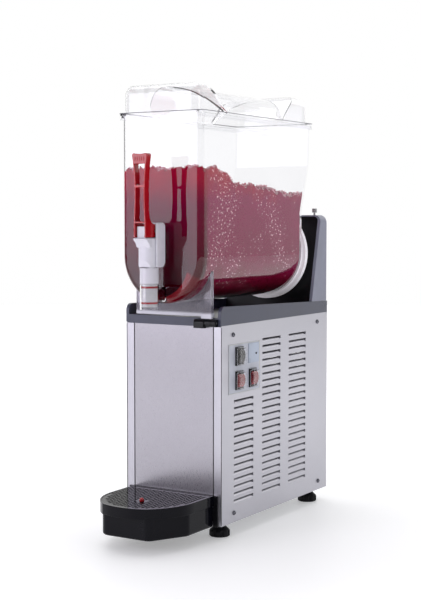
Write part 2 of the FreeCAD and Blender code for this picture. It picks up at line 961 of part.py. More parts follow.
def bowl_cavity(extra):
    """The space inside the bowl, shrunk by an extra clearance and open past the rim."""
    inset = size.bowl_wall + extra
    return trough(
        inset,
        size.bowl_front_y + inset,
        size.bowl_back_low_y - inset,
        size.bowl_back_high_y - inset,
        size.bowl_top + 20,
    )


RIM_REAR_CORNER = 4
APRON_HALF = 79
NECK_LOW = 418
NECK_HIGH = 444


def soft_corners(form, front_radius, rear_radius):
    """An upright box with its front and its rear corners rounded, each to its own radius."""
    middle = form.BoundBox.Center.y
    uprights = [edge for edge in form.Edges if along(edge, Vector(0, 0, 1))]
    form = form.makeFillet(front_radius, [edge for edge in uprights if edge.CenterOfMass.y < middle])
    uprights = [edge for edge in form.Edges if along(edge, Vector(0, 0, 1))]
    last = form.BoundBox.YMax - 1e-3
    return form.makeFillet(rear_radius, [edge for edge in uprights if edge.CenterOfMass.y > last])


def bowl_outside():
    return trough(0, size.bowl_front_y, size.bowl_back_low_y, size.bowl_back_high_y, size.bowl_top)


def spout_port():
    """The passage from the bowl into the spout tube."""
    return box(
        Vector(-7, size.tap_y, NECK_LOW + 3),
        Vector(7, size.bowl_front_y + 2 * size.bowl_corner, NECK_HIGH - 3),
    )


def bowl():
    """The clear bowl: a trough with a rim, open at the rear for the drum."""
    rim = box(
        Vector(-size.bowl_half - 3, size.bowl_front_y - 3, size.bowl_top - 4),
        Vector(size.bowl_half + 3, size.bowl_back_high_y + 1.5, size.bowl_top),
    )
    rim = soft_corners(rim, size.bowl_corner, RIM_REAR_CORNER)
    drum_opening = Part.makeCylinder(
        size.auger_radius + 2,
        60,
        Vector(0, size.bowl_back_low_y - 30, size.axis_height),
        Vector(0, 1, 0),
    )
    return bowl_outside().fuse(rim).cut([bowl_cavity(0), spout_port(), drum_opening])


def bowl_apron():
    """The clear apron bonded under the bowl's front, with side fins and the tab that the latch holds."""
    apron_low = size.bar_top + 1.5
    apron_high = size.bowl_centre - 26
    apron = box(
        Vector(-APRON_HALF, size.front_y, apron_low),
        Vector(APRON_HALF, size.front_y + size.bowl_wall, apron_high),
    )
    apron_fin = box(
        Vector(APRON_HALF - 2, size.front_y, apron_low),
        Vector(APRON_HALF, size.front_y + 8, apron_high),
    )
    apron_fin_left = apron_fin.mirror(Vector(), Vector(1, 0, 0))
    tab = box(
        Vector(63, size.front_y - 8, apron_low),
        Vector(84, size.front_y + size.bowl_wall, apron_low + 6),
    )
    tab_hook = box(
        Vector(63, size.front_y - 8, apron_low - 2.8),
        Vector(84, size.front_y - size.deck_lip - 0.6, apron_low + 6),
    )
    return apron.fuse([apron_fin, apron_fin_left, tab, tab_hook]).cut(bowl_outside())


def spout_tube():
    """The clear tube that the tap's piston runs in, on a neck from the bowl's front."""
    up = Vector(0, 0, 1)
    base = Vector(0, size.tap_y, size.tube_bottom)
    tube = Part.makeCylinder(size.tube_radius, size.tube_top - size.tube_bottom, base, up)
    neck = box(
        Vector(-10, size.tap_y, NECK_LOW),
        Vector(10, size.bowl_front_y + size.bowl_corner, NECK_HIGH),
    )
    bore = Part.makeCylinder(size.tube_bore, 100, base - up, up)
    return tube.fuse(neck).cut([bore, spout_port(), bowl_outside()])


node("bowl", feature("Bowl", bowl()))
node("bowl_apron", feature("BowlApron", bowl_apron()))
node("spout_tube", feature("SpoutTube", spout_tube()))

# The slush's top line from front to back: how far behind the bowl's front, and how high.
SLUSH_LINE = [(0, 649), (90, 640), (133, 620), (213, 619), (263, 614), (318, 606), (400, 613)]


def slush():
    """The frozen drink: it fills the bowl up to a dipping top line and leaves room for the auger."""
    front = size.bowl_front_y
    half = size.bowl_half
    low = size.bowl_centre - half - 5
    line = [Vector(-half, front + deep, up) for deep, up in SLUSH_LINE]
    below = prism(
        [Vector(-half, front, low), *line, Vector(-half, front + 400, low)],
        Vector(2 * half, 0, 0),
    )
    auger_room = Part.makeCylinder(
        size.auger_radius + 2,
        400,
        Vector(0, size.shaft_front_y - 6, size.axis_height),
        Vector(0, 1, 0),
    )
    return bowl_cavity(0.3).common(below).cut(auger_room)


node("slush_fill", feature("SlushFill", slush()))


def smooth(points):
    """A smooth curve through the points, as an edge."""
    curve = Part.BSplineCurve()
    curve.interpolate(points)
    return curve.toShape()


# The humps' inner shoulders at the lid's flanks: how far behind the cabinet's front, and how far below
# the lid's top.
FRONT_SHOULDER = [(-32, -1), (-14, 2.5), (7, 13), (27, 29), (58, 50)]
REAR_SHOULDER = [(322, -1), (303, 3), (284, 16), (268, 31), (251, 50)]


def hump(shoulder, far_end, inset, high):
    """A full-width block on the shoulder's far side, from the rim up past the lid's top."""
    shift = -0.8 * inset if shoulder[0][0] < shoulder[-1][0] else 0.8 * inset
    line = [Vector(-100, size.front_y + deep + shift, high - down) for deep, down in shoulder]
    top = Vector(-100, far_end, line[0].z)
    foot = Vector(-100, far_end, line[-1].z)
    outline = Part.Wire(
        [
            smooth(line),
            Part.makeLine(line[-1], foot),
            Part.makeLine(foot, top),
            Part.makeLine(top, line[0]),
        ]
    )
    return Part.Face(outline).extrude(Vector(200, 0, 0))


def lid_form(inset):
    """The lid's raised form: a hump at each end and a vault between them, on a low base over the bowl.
    The inset shrinks it evenly."""
    half = size.lid_half - 8 - inset
    front = size.lid_front_y + 0.5 + inset
    back = size.lid_back_y - 1.5 - inset
    low = size.lid_bottom - 10
    high = size.lid_top - inset
    rim_height = size.lid_shoulder - inset
    form = box(Vector(-half, front, low), Vector(half, back, high))
    upper = [edge for edge in form.Edges if edge.CenterOfMass.z > low + 1]
    form = form.makeFillet(18 - inset, upper)
    crest = high - 1.5
    vault_outline = Part.Wire(
        [
            Part.Arc(
                Vector(-half + 0.5, front + 20, rim_height),
                Vector(0, front + 20, crest),
                Vector(half - 0.5, front + 20, rim_height),
            ).toShape(),
            Part.makeLine(
                Vector(half - 0.5, front + 20, rim_height),
                Vector(-half + 0.5, front + 20, rim_height),
            ),
        ]
    )
    vault = Part.Face(vault_outline).extrude(Vector(0, back - front - 40, 0))
    base = box(Vector(-100, front - 5, low - 5), Vector(100, back + 5, rim_height))
    kept = base.fuse(
        [
            vault,
            hump(FRONT_SHOULDER, front - 5, inset, high),
            hump(REAR_SHOULDER, back + 5, inset, high),
        ]
    )
    return form.common(kept)


def lid():
    """The clear lid: a skirt over the bowl's rim under a hollow raised form."""
    clearance = 0.6
    skirt_half = size.lid_half
    skirt = box(
        Vector(-skirt_half, size.lid_front_y, size.lid_bottom),
        Vector(skirt_half, size.lid_back_y, size.lid_shoulder),
    )
    skirt = soft_corners(skirt, size.bowl_corner + 1, RIM_REAR_CORNER + 1)
    rim_space = box(
        Vector(-size.bowl_half - 3 - clearance, size.bowl_front_y - 3 - clearance, size.lid_bottom - 20),
        Vector(
            size.bowl_half + 3 + clearance,
            size.bowl_back_high_y + 1.5 + clearance,
            size.bowl_top + 0.4,
        ),
    )
    rim_space = soft_corners(rim_space, size.bowl_corner, RIM_REAR_CORNER)
    return skirt.fuse(lid_form(0)).cut([rim_space, lid_form(size.lid_wall)])


node("lid", feature("Lid", lid()))

# ---------------------------------------------------------------- tap

tap_low = ("0", "tap_y")
HOUSING_LOW = 479
HOUSING_TOP = 529


def tap_housing():
    """The tap's guide on top of the spout tube: a rounded block with a tapered foot, a lip that flares
    forward for the handle's toes to press on, an upstand between them, and a hollow for the spring."""
    half = 15
    front = size.tap_y - 19
    back = size.tap_y + 17
    block = box(Vector(-half, front, HOUSING_LOW), Vector(half, back, HOUSING_TOP))
    front_edges = [
        edge
        for edge in block.Edges
        if along(edge, Vector(0, 0, 1)) and edge.CenterOfMass.y < front + 1
    ]
    block = block.makeFillet(12.5, front_edges)
    foot_cut = prism(
        [
            Vector(-half - 1, front - 1, HOUSING_LOW - 1),
            Vector(-half - 1, front + 6, HOUSING_LOW - 1),
            Vector(-half - 1, front - 1, HOUSING_LOW + 14),
        ],
        Vector(2 * half + 2, 0, 0),
    )
    lip_reach = 10
    lip = prism(
        [
            Vector(-half + 1, front + 12, HOUSING_TOP - 16),
            Vector(-half + 1, front + 1.5, HOUSING_TOP - 16),
            Vector(-half + 1, front - 1.5, HOUSING_TOP - 10),
            Vector(-half + 1, front - 6, HOUSING_TOP - 5),
            Vector(-half + 1, front - lip_reach, HOUSING_TOP - 2.6),
            Vector(-half + 1, front - lip_reach, HOUSING_TOP),
            Vector(-half + 1, front + 12, HOUSING_TOP),
        ],
        Vector(2 * half - 2, 0, 0),
    )
    lip_edges = [
        edge
        for edge in lip.Edges
        if edge.CenterOfMass.y < front - lip_reach + 1 and along(edge, Vector(0, 0, 1))
    ]
    lip = lip.makeFillet(2, lip_edges)
    upstand = box(
        Vector(-8.5, front - lip_reach + 5, HOUSING_TOP - 2),
        Vector(8.5, front - lip_reach + 7, HOUSING_TOP + 20),
    )
    up = Vector(0, 0, 1)
    base = Vector(0, size.tap_y, HOUSING_LOW)
    hollow = Part.makeCylinder(11, 43, base - up, up)
    guide = Part.makeCylinder(size.rod_radius + 0.3, 60, base, up)
    return block.cut(foot_cut).fuse([lip, upstand]).cut([hollow, guide])


node("tap_housing", feature("TapHousing", tap_housing()))

CHEEK_INNER = 15.3
CHEEK_GAUGE = 3.2


def tap_bracket():
    """The tap's bracket: a rounded fork around the guide, on a narrower neck from the bowl's front."""
    outer = CHEEK_INNER + CHEEK_GAUGE
    front = size.tap_y - 4
    back = size.tap_y + 23
    low = HOUSING_LOW
    high = HOUSING_TOP + 27
    fork = box(Vector(-outer, front, low), Vector(outer, back, high))
    for radius, edge_y, edge_z in ((11, back, low), (8, back, high), (4, front, low), (6, front, high)):
        corner = [
            edge
            for edge in fork.Edges
            if along(edge, Vector(1, 0, 0))
            and abs(edge.CenterOfMass.y - edge_y) < 0.01
            and abs(edge.CenterOfMass.z - edge_z) < 0.01
        ]
        fork = fork.makeFillet(radius, corner)
    uprights = [edge for edge in fork.Edges if along(edge, Vector(0, 0, 1))]
    fork = fork.makeFillet(2.2, uprights)
    neck = box(
        Vector(6 - CHEEK_INNER, size.tap_y + 18, low + 14),
        Vector(CHEEK_INNER - 6, size.bowl_front_y, high - 14),
    )
    room = box(
        Vector(-CHEEK_INNER, front - 1, low - 1),
        Vector(CHEEK_INNER, size.tap_y + 18, high + 1),
    )
    return fork.fuse(neck).cut(room)


node("tap_bracket", feature("TapBracket", tap_bracket()))

piston_head = rod("PistonHead", "z", (*tap_low, 411), "piston_radius", 40)
piston_rod = rod("PistonRod", "z", (*tap_low, 440), "rod_radius", "pin_height + 7 - 440")
piston_sleeve = rod("PistonSleeve", "z", (*tap_low, 440), "rod_radius + 2.2", 58)
pin_hole = rod("PinHole", "x", (-10, "tap_y", "pin_height"), "pin_radius", 20)
RING_HEIGHTS = (418, 445)
ring_grooves = []
rings = []
for step, height in enumerate(RING_HEIGHTS):
    groove_outer = rod(f"GrooveOuter{step}", "z", (*tap_low, height - 1.7), "piston_radius + 1", 3.4)
    groove_core = rod(f"GrooveCore{step}", "z", (*tap_low, height - 2), "piston_radius - 2.6", 4)
    ring_grooves.append(cut(f"RingGroove{step}", groove_outer, groove_core))
    ring = doc.addObject("Part::Torus", f"ORing{step}")
    ring.setExpression("Radius1", bound("piston_radius - 1.1"))
    ring.setExpression("Radius2", "1.5")
    rings.append(place(ring, (*tap_low, height)))
piston_solid = fuse("PistonSolid", piston_head, piston_rod, piston_sleeve)
node("tap_piston", cut("TapPiston", piston_solid, pin_hole, *ring_grooves))
node("piston_rings", group("PistonRings", *rings))
node("handle_pin", rod("HandlePin", "x", (-14, "tap_y", "pin_height"), "pin_radius", 28))

SPRING_LOW = 451.5
SPRING_TOP = 520.6


def tap_spring():
    """The return spring between the piston's head and the top of the guide."""
    radius = 9
    wire = 0.8
    coil = Part.makeHelix(7, SPRING_TOP - SPRING_LOW - 2 * wire, radius)
    start = coil.Vertexes[0].Point
    section = Part.Wire(Part.makeCircle(wire, start, Vector(0, 1, 0)))
    spring = Part.Wire(coil.Edges).makePipeShell([section], True, True)
    return spring.translated(Vector(0, size.tap_y, SPRING_LOW + wire))


node("tap_spring", feature("TapSpring", tap_spring()))

# The handle's outline seen from the front: half width at each height, from its foot to its top.
HANDLE_WAIST = [(12.3, 530.5), (12.3, 550), (11.4, 570), (10.4, 590), (10.5, 617), (12.8, 651), (16.3, 674)]
HANDLE_WALL = 2.5
WAIST_HEIGHT = 617


def tap_handle():
    """The pull handle: two thin side walls joined by a solid head, a crossbar at the waist and a small
    one at the foot.  The walls run back at the foot as heels that carry the cross pin."""
    front = size.tap_y - 29
    grip_back = front + size.handle_depth
    heel_back = size.tap_y + 12
    foot = size.pin_height - 10.5
    heel_top = size.pin_height + 12
    top = size.handle_top

    def outline(wall):
        right = [Vector(across - wall, front, up) for across, up in HANDLE_WAIST]
        curve = Part.BSplineCurve()
        curve.interpolate(right)
        mirrored = Part.BSplineCurve()
        mirrored.interpolate([Vector(-point.x, front, point.z) for point in right])
        half_top = right[-1].x
        height = right[-1].z
        crown = Part.Arc(
            Vector(half_top, front, height),
            Vector(0, front, height - 2.5),
            Vector(-half_top, front, height),
        ).toShape()
        foot_line = Part.makeLine(right[0], Vector(-right[0].x, front, right[0].z))
        wire = Part.Wire(Part.sortEdges([curve.toShape(), crown, mirrored.toShape(), foot_line])[0])
        return Part.Face(wire)

    reach = heel_back - front
    form = outline(0).extrude(Vector(0, reach, 0))
    side_view = Part.Wire(
        [
            Part.makeLine(Vector(-30, front, foot), Vector(-30, heel_back - 6, foot)),
            Part.Arc(
                Vector(-30, heel_back - 6, foot),
                Vector(-30, heel_back, foot + 8),
                Vector(-30, heel_back - 5, heel_top),
            ).toShape(),
            Part.makeLine(Vector(-30, heel_back - 5, heel_top), Vector(-30, grip_back + 14, heel_top)),
            Part.Arc(
                Vector(-30, grip_back + 14, heel_top),
                Vector(-30, grip_back + 4, heel_top + 5),
                Vector(-30, grip_back, heel_top + 18),
            ).toShape(),
            Part.makeLine(Vector(-30, grip_back, heel_top + 18), Vector(-30, grip_back, top + 5)),
            Part.makeLine(Vector(-30, grip_back, top + 5), Vector(-30, front, top + 5)),
            Part.makeLine(Vector(-30, front, top + 5), Vector(-30, front, foot)),
        ]
    )
    form = form.common(Part.Face(side_view).extrude(Vector(60, 0, 0)))
    inside = outline(HANDLE_WALL).extrude(Vector(0, reach + 2, 0)).translated(Vector(0, -1, 0))
    bars = [
        box(Vector(-20, front - 2, WAIST_HEIGHT - 2), Vector(20, heel_back, WAIST_HEIGHT + 2)),
        box(Vector(-20, front - 2, heel_top + 1.5), Vector(20, front + 3, heel_top + 4.5)),
        box(Vector(-20, front - 2, 655), Vector(20, heel_back, top + 5)),
    ]
    lengthways = Vector(0, 1, 0)
    windows = []
    for window in inside.cut(bars).Solids:
        for height, radius in ((WAIST_HEIGHT - 2, 6), (WAIST_HEIGHT + 2, 4.5), (655, 2)):
            ends = [
                edge
                for edge in window.Edges
                if along(edge, lengthways) and abs(edge.CenterOfMass.z - height) < 0.2
            ]
            if ends:
                window = window.makeFillet(radius, ends)
        windows.append(window)
    crown = [edge for edge in form.Edges if along(edge, lengthways) and edge.CenterOfMass.z > top - 4]
    form = form.makeFillet(3.5, crown)
    bore = Part.makeCylinder(
        size.pin_radius + 0.05,
        40,
        Vector(-20, size.tap_y, size.pin_height),
        Vector(1, 0, 0),
    )
    return form.cut([*windows, bore])


node("tap_handle", feature("TapHandle", tap_handle()))

# ---------------------------------------------------------------- drip tray


def tray_outline(inset, height):
    """The tray's rim seen from above: straight sides, round corners and a bowed front."""
    half = size.tray_half - inset
    back = size.tray_back_y - inset
    front = size.tray_front_y + inset
    side_end = back - 64
    corner_x = 44 - inset / 2
    corner_y = front + 9
    run = half - corner_x
    drop = side_end - corner_y
    radius = (run * run + drop * drop) / (2 * run)
    sweep = math.asin(drop / radius) / 2
    middle_x = half - radius * (1 - math.cos(sweep))
    middle_y = side_end - radius * math.sin(sweep)

    def corner(side):
        return Part.Arc(
            Vector(side * half, side_end, height),
            Vector(side * middle_x, middle_y, height),
            Vector(side * corner_x, corner_y, height),
        ).toShape()

    edges = [
        Part.makeLine(Vector(-half, back, height), Vector(half, back, height)),
        Part.makeLine(Vector(half, back, height), Vector(half, side_end, height)),
        corner(1),
        Part.Arc(
            Vector(corner_x, corner_y, height),
            Vector(0, front, height),
            Vector(-corner_x, corner_y, height),
        ).toShape(),
        corner(-1),
        Part.makeLine(Vector(-half, side_end, height), Vector(-half, back, height)),
    ]
    return Part.Face(Part.Wire(edges))


def tray_body(inset, low, high):
    """The tray's faceted lower part between two heights."""
    half = size.tray_half - 2 - inset
    back = size.tray_back_y - inset
    points = [
        (-half, back),
        (half, back),
        (half, back - 78 + inset),
        (48 - inset / 2, size.tray_front_y + 13 + inset),
        (-48 + inset / 2, size.tray_front_y + 13 + inset),
        (-half, back - 78 + inset),
    ]
    solid = prism([Vector(across, deep, low) for across, deep in points], Vector(0, 0, high - low))
    uprights = [
        edge
        for edge in solid.Edges
        if along(edge, Vector(0, 0, 1)) and edge.CenterOfMass.y < back - 20
    ]
    return solid.makeFillet(16, uprights)


def drip_tray():
    """The black drip tray: a bowed rim band over a faceted body, hollow, with a ledge for the grid."""
    wall = size.tray_wall
    up = Vector(0, 0, 1)
    band = tray_outline(0, size.band_bottom).extrude(up * (size.tray_top - size.band_bottom))
    lower = tray_body(0, size.tray_bottom, size.band_bottom + 1)
    bottom = [
        edge
        for edge in lower.Edges
        if edge.CenterOfMass.z < size.tray_bottom + 0.5 and edge.CenterOfMass.y < size.tray_back_y - 1
    ]
    lower = lower.makeFillet(5, bottom)
    seat = tray_outline(wall, size.grid_bottom - 0.3).extrude(up * 20)
    basin = tray_body(2 * wall, size.tray_bottom + wall, size.grid_bottom)
    return band.fuse(lower).cut([seat, basin]).removeSplitter()


def drip_grid():
    """The grid that lies in the tray's rim: a lattice of square holes, with a round hole for the float."""
    up = Vector(0, 0, 1)
    low = size.grid_bottom
    outline = tray_outline(size.tray_wall + 0.7, low)
    field = tray_outline(size.tray_wall + 3.6, low)
    pitch = 7.6
    half = 2.75
    wires = [outline.OuterWire]
    row_count = int((size.tray_back_y - size.tray_front_y) / pitch)
    for row_number in range(row_count):
        deep = size.tray_back_y - (row_number + 0.9) * pitch
        for column in range(-11, 12):
            across = column * pitch
            corners = [
                Vector(across + dx * half, deep + dy * half, low)
                for dx, dy in ((-1, -1), (1, -1), (1, 1), (-1, 1), (-1, -1))
            ]
            near_float = math.hypot(across, deep - size.float_y) < 10.5
            if near_float or not all(field.isInside(corner, 0.01, True) for corner in corners):
                continue
            wires.append(Part.makePolygon(corners))
    wires.append(Part.Wire(Part.makeCircle(5, Vector(0, size.float_y, low))))
    return Part.makeFace(wires, "Part::FaceMakerBullseye").extrude(up * size.grid_thickness)


node("drip_tray", feature("DripTray", drip_tray()))
node("drip_grid", feature("DripGrid", drip_grid()))

float_ball = doc.addObject("Part::Sphere", "FloatBall")
float_ball.setExpression("Radius", "4.2")
place(float_ball, ("0", "float_y", "tray_top + 1"))
float_stem = rod("FloatStem", "z", ("0", "float_y", "tray_bottom + tray_wall + 4"), 1.6, "tray_top - 30")
float_disc = rod("FloatDisc", "z", ("0", "float_y", "tray_bottom + tray_wall + 0.3"), 12, 8)
node("level_float", fuse("LevelFloat", float_ball, float_stem, float_disc))

bracket_strips = []
for side, left in (("Left", -93.5), ("Right", 84.5)):
    strip = brick(
        "TrayStrip" + side,
        (left, "front_y - 3", "cabinet_bottom - 1"),
        (9, 3, "tray_top - cabinet_bottom + 1"),
    )
    bracket_strips.append(strip)
cross_strip = brick("TrayCross", (-85, "front_y - 3", 34), (170, 3, 24))
node("tray_bracket", fuse("TrayBracket", *bracket_strips, cross_strip))

# ---------------------------------------------------------------- controls on the right side

plate_blank = brick(
    "PlateBlank",
    ("half_width", "plate_front_y", "plate_bottom"),
    ("plate_gauge", "plate_length", "plate_height"),
)
plate_windows = []
ROCKER_TILT = 7
TRUNNION_RADIUS = 1.6
TRUNNION_REACH = 0.4


def rocker(across, height):
    """A rocker with a shallow V face, tilted so that its upper end stands out."""
    pivot = Vector(size.half_width - 1, across, height)
    half_wide = size.switch_window_width / 2 - 0.5
    half_tall = size.switch_window_height / 2 - 1
    profile = [
        Vector(-3, -half_wide, -half_tall + 2),
        Vector(7.5, -half_wide, -half_tall),
        Vector(6, -half_wide, 0),
        Vector(7.5, -half_wide, half_tall),
        Vector(-3, -half_wide, half_tall - 2),
    ]
    solid = prism(profile, Vector(0, 2 * half_wide, 0))
    trunnion_reach = size.switch_window_width / 2 + TRUNNION_REACH
    trunnion = Part.makeCylinder(
        TRUNNION_RADIUS,
        2 * trunnion_reach,
        Vector(0, -trunnion_reach, 0),
        Vector(0, 1, 0),
    )
    solid = solid.fuse(trunnion)
    solid.rotate(Vector(), Vector(0, 1, 0), ROCKER_TILT)
    return solid.translated(pivot)


def hood(across, height):
    """The clear splash hood over a rocker: a hollow tapered cap on the bezel."""

    def cap(inset, low, high):
        wires = []
        for level, shrink in ((low, inset), (high, inset + 2)):
            wide = size.switch_width / 2 - shrink
            tall = size.switch_height / 2 - shrink
            corners = [(-wide, -tall), (wide, -tall), (wide, tall), (-wide, tall)]
            points = [Vector(level, across + dy, height + dz) for dy, dz in corners]
            wires.append(Part.makePolygon([*points, points[0]]))
        return Part.makeLoft(wires, True, True)

    base = size.half_width + size.plate_gauge + size.bezel_rise
    top = base + size.hood_rise
    return cap(0, base, top).cut(cap(size.hood_wall, base, top - size.hood_wall))


housings = []
hoods = []
for label, offset, height in SWITCHES:
    deep = f"front_y + {offset}"
    plate_windows.append(
        brick(
            "PlateWindow_" + label,
            ("half_width - 1", f"{deep} - switch_body_width / 2", f"{height} - switch_body_height / 2"),
            (4, "switch_body_width", "switch_body_height"),
        )
    )
    bezel = brick(
        "Bezel_" + label,
        (
            "half_width + plate_gauge",
            f"{deep} - switch_width / 2",
            f"{height} - switch_height / 2",
        ),
        ("bezel_rise", "switch_width", "switch_height"),
    )
    case = brick(
        "SwitchCase_" + label,
        ("half_width - 24", f"{deep} - switch_body_width / 2", f"{height} - switch_body_height / 2"),
        ("25", "switch_body_width", "switch_body_height"),
    )
    window = brick(
        "SwitchWindow_" + label,
        (
            "half_width - 14",
            f"{deep} - switch_window_width / 2",
            f"{height} - switch_window_height / 2",
        ),
        ("30", "switch_window_width", "switch_window_height"),
    )
    socket = rod(
        "Socket_" + label,
        "y",
        ("half_width - 1", f"{deep} - switch_window_width / 2 - 0.5", height),
        TRUNNION_RADIUS + 0.1,
        "switch_window_width + 1",
    )
    housing = fuse("SwitchHousing_" + label, bezel, case)
    housings.append(cut("SwitchHollow_" + label, housing, window, socket))
    hoods.append(feature("Hood_" + label, hood(size.front_y + offset, height)))
    node(f"rocker_{label}", feature("Rocker_" + label, rocker(size.front_y + offset, height)))

node("switch_housings", group("SwitchHousings", *housings))
node("switch_hoods", group("SwitchHoods", *hoods))
node("control_plate", cut("ControlPlate", plate_blank, *plate_windows))
node(
    "blank_cover",
    brick(
        "BlankCover",
        ("half_width + plate_gauge", "front_y + 92", "304"),
        ("1", "37", "35"),
    ),
)
lamp_base = ("half_width + plate_gauge + 1", "front_y + 118", "320")
node("indicator_lamp", cone("IndicatorLamp", "x", lamp_base, 2, 1.4, 1.2))

# ---------------------------------------------------------------- cooling system


def condenser():
    """A finned block: a core crossed by thin plates, on two feet."""
    low = Vector(-70, size.front_y + 64, 62)
    high = Vector(70, size.front_y + 96, 248)
    core = box(low, high)
    fins = []
    fin_count = 24
    for step in range(fin_count):
        left = low.x + 1 + step * (high.x - low.x - 3) / (fin_count - 1)
        fins.append(box(Vector(left, low.y - 4, low.z - 4), Vector(left + 1, high.y + 4, high.z + 4)))
    feet = [
        box(Vector(left, low.y, 27.5), Vector(left + 12, high.y, low.z + 1))
        for left in (-60, 48)
    ]
    return core.fuse([*fins, *feet])


DRIER_X = 74
DRIER_Y = 84
LIQUID_X = 60
LIQUID_RADIUS = 2.5


def fan_shroud():
    """The shroud plate with its collar and the strap that holds the fan motor."""
    plate_front = size.fan_y - 8
    collar_depth = 15
    radius = size.fan_radius + 2
    centre = Vector(0, plate_front, size.fan_height)
    back = Vector(0, 1, 0)
    plate = box(Vector(-86, plate_front, 68), Vector(86, plate_front + 2, 242))
    collar = Part.makeCylinder(radius + 2, collar_depth, centre, back)
    opening = Part.makeCylinder(radius, collar_depth + 4, centre - back * 2, back)
    strap = box(Vector(-12, plate_front + 22, 70), Vector(12, plate_front + 24, 240))
    legs = [
        box(Vector(-12, plate_front, low), Vector(12, plate_front + 24, low + 2))
        for low in (70, 238)
    ]
    hole = Part.makeCylinder(5, 10, centre + back * 18, back)
    feet = [box(Vector(left, plate_front, 27.5), Vector(left + 14, plate_front + 2, 70)) for left in (-80, 66)]
    pipe_hole = Part.makeCylinder(LIQUID_RADIUS + 1, 8, Vector(LIQUID_X, plate_front - 3, 84), back)
    ring = plate.fuse([collar, *feet]).cut([opening, pipe_hole])
    return ring.fuse([strap, *legs]).cut(hole)


def fan_blade():
    """A five-bladed fan on a hub: each blade is a twisted sheet."""
    hub = Part.makeCylinder(17, 14, Vector(0, -7, 0), Vector(0, 1, 0))
    blades = []
    for step in range(5):
        wires = []
        for reach, pitch in ((12, 38), (size.fan_radius - 2, 22)):
            chord = 12 + reach * 0.28
            turn = Rotation(Vector(1, 0, 0), pitch)
            corners = [(-chord, -0.8), (chord, -0.8), (chord, 0.8), (-chord, 0.8)]
            points = [Vector(reach, 0, 0) + turn.multVec(Vector(0, thick, wide)) for wide, thick in corners]
            wires.append(Part.makePolygon([*points, points[0]]))
        blade = Part.makeLoft(wires, True, True)
        blade.rotate(Vector(), Vector(0, 1, 0), 72 * step)
        blades.append(blade)
    shaft = Part.makeCylinder(2.9, 32, Vector(0, -6, 0), Vector(0, 1, 0))
    swept = Part.makeCylinder(size.fan_radius, 16, Vector(0, -8, 0), Vector(0, 1, 0))
    whole = hub.fuse([*blades, shaft])
    trimmed = whole.common(swept.fuse(Part.makeCylinder(4, 60, Vector(0, -10, 0), Vector(0, 1, 0))))
    return trimmed.translated(Vector(0, size.fan_y, size.fan_height))


node("condenser", feature("Condenser", condenser()))
node("fan_shroud", feature("FanShroud", fan_shroud()))
node("fan_blade", feature("FanBlade", fan_blade()))
fan_case = rod("FanCase", "y", ("0", "fan_y + 16", "fan_height"), 34, 46)
fan_bore = rod("FanBore", "y", ("0", "fan_y + 15", "fan_height"), 2.97, 20)
node("fan_motor", cut("FanMotor", fan_case, fan_bore))

shell = rod("Shell", "z", ("0", "compressor_y", "36"), "compressor_radius", "compressor_height")
shell_soft = rounded("ShellSoft", shell, 26, lambda edge: edge.Closed)
base_plate = brick("BasePlate", (-80, "compressor_y - 45", "34"), (160, 90, 4))
node("compressor", fuse("Compressor", shell_soft, base_plate))
grommets = []
for step, (across, deep) in enumerate([(-70, -36), (70, -36), (-70, 36), (70, 36)]):
    grommets.append(
        rod(
            f"Grommet{step}",
            "z",
            (across, f"compressor_y + {deep}", "chassis_bottom + chassis_gauge"),
            6,
            "34 - chassis_bottom - chassis_gauge",
        )
    )
node("compressor_grommets", group("Grommets", *grommets))

drier_body = rod("DrierBody", "z", (DRIER_X, DRIER_Y, 120), 10, 60)
drier_top = cone("DrierTop", "z", (DRIER_X, DRIER_Y, 180), 10, 3.5, 14)
drier_low = cone("DrierLow", "z", (DRIER_X, DRIER_Y, 106), 3.5, 10, 14)
node("filter_drier", fuse("FilterDrier", drier_body, drier_top, drier_low))


def copper_pipes():
    """The refrigerant lines: compressor to condenser, condenser to drier, drier to drum, drum to compressor."""
    tube = 3
    bend = 12
    across = 30
    hot = tube_along(
        [
            Vector(across, size.compressor_y, 170),
            Vector(across, size.compressor_y, 257),
            Vector(across, size.front_y + 80, 257),
            Vector(across, size.front_y + 80, 240),
        ],
        tube,
        8,
    )
    suction = tube_along(
        [
            Vector(-38, 235, 459),
            Vector(-52, 235, 442),
            Vector(-52, 235, 215),
            Vector(-36, size.compressor_y, 215),
            Vector(-36, size.compressor_y, 165),
        ],
        tube,
        bend,
    )
    liquid = tube_along(
        [
            Vector(DRIER_X, DRIER_Y, 110),
            Vector(DRIER_X, DRIER_Y, 84),
            Vector(LIQUID_X, 30, 84),
            Vector(LIQUID_X, -40, 84),
        ],
        LIQUID_RADIUS,
        bend,
    )
    capillary = tube_along(
        [
            Vector(DRIER_X, DRIER_Y, 190),
            Vector(DRIER_X, DRIER_Y, 270),
            Vector(54, 235, 270),
            Vector(54, 235, 442),
            Vector(38, 235, 459),
        ],
        2,
        bend,
    )
    return Part.makeCompound([hot, suction, liquid, capillary])


node("copper_pipes", feature("CopperPipes", copper_pipes()))

box_outer = brick("BoxOuter", (22, "front_y + 26", "262"), (48, 104, 112))
box_hollow = brick("BoxHollow", (24, "front_y + 28", "264"), (48, 100, 108))
node("electrical_box", cut("ElectricalBox", box_outer, box_hollow))

gland_rise = rod("GlandRise", "y", (GLAND_X, "back_y", GLAND_HEIGHT), 10, 5)
gland_dome = cone("GlandDome", "y", (GLAND_X, "back_y + 5", GLAND_HEIGHT), 9, 6.5, 5)
gland_thread = rod("GlandThread", "y", (GLAND_X, "back_y - 12", GLAND_HEIGHT), 6.8, 13)
gland_nut = rod("GlandNut", "y", (GLAND_X, "back_y - 7", GLAND_HEIGHT), 10, 6)
gland_bore = rod("GlandBore", "y", (GLAND_X, "back_y - 13", GLAND_HEIGHT), 4.2, 30)
gland_solid = fuse("GlandSolid", gland_rise, gland_dome, gland_thread, gland_nut)
node("cable_gland", cut("CableGland", gland_solid, gland_bore))

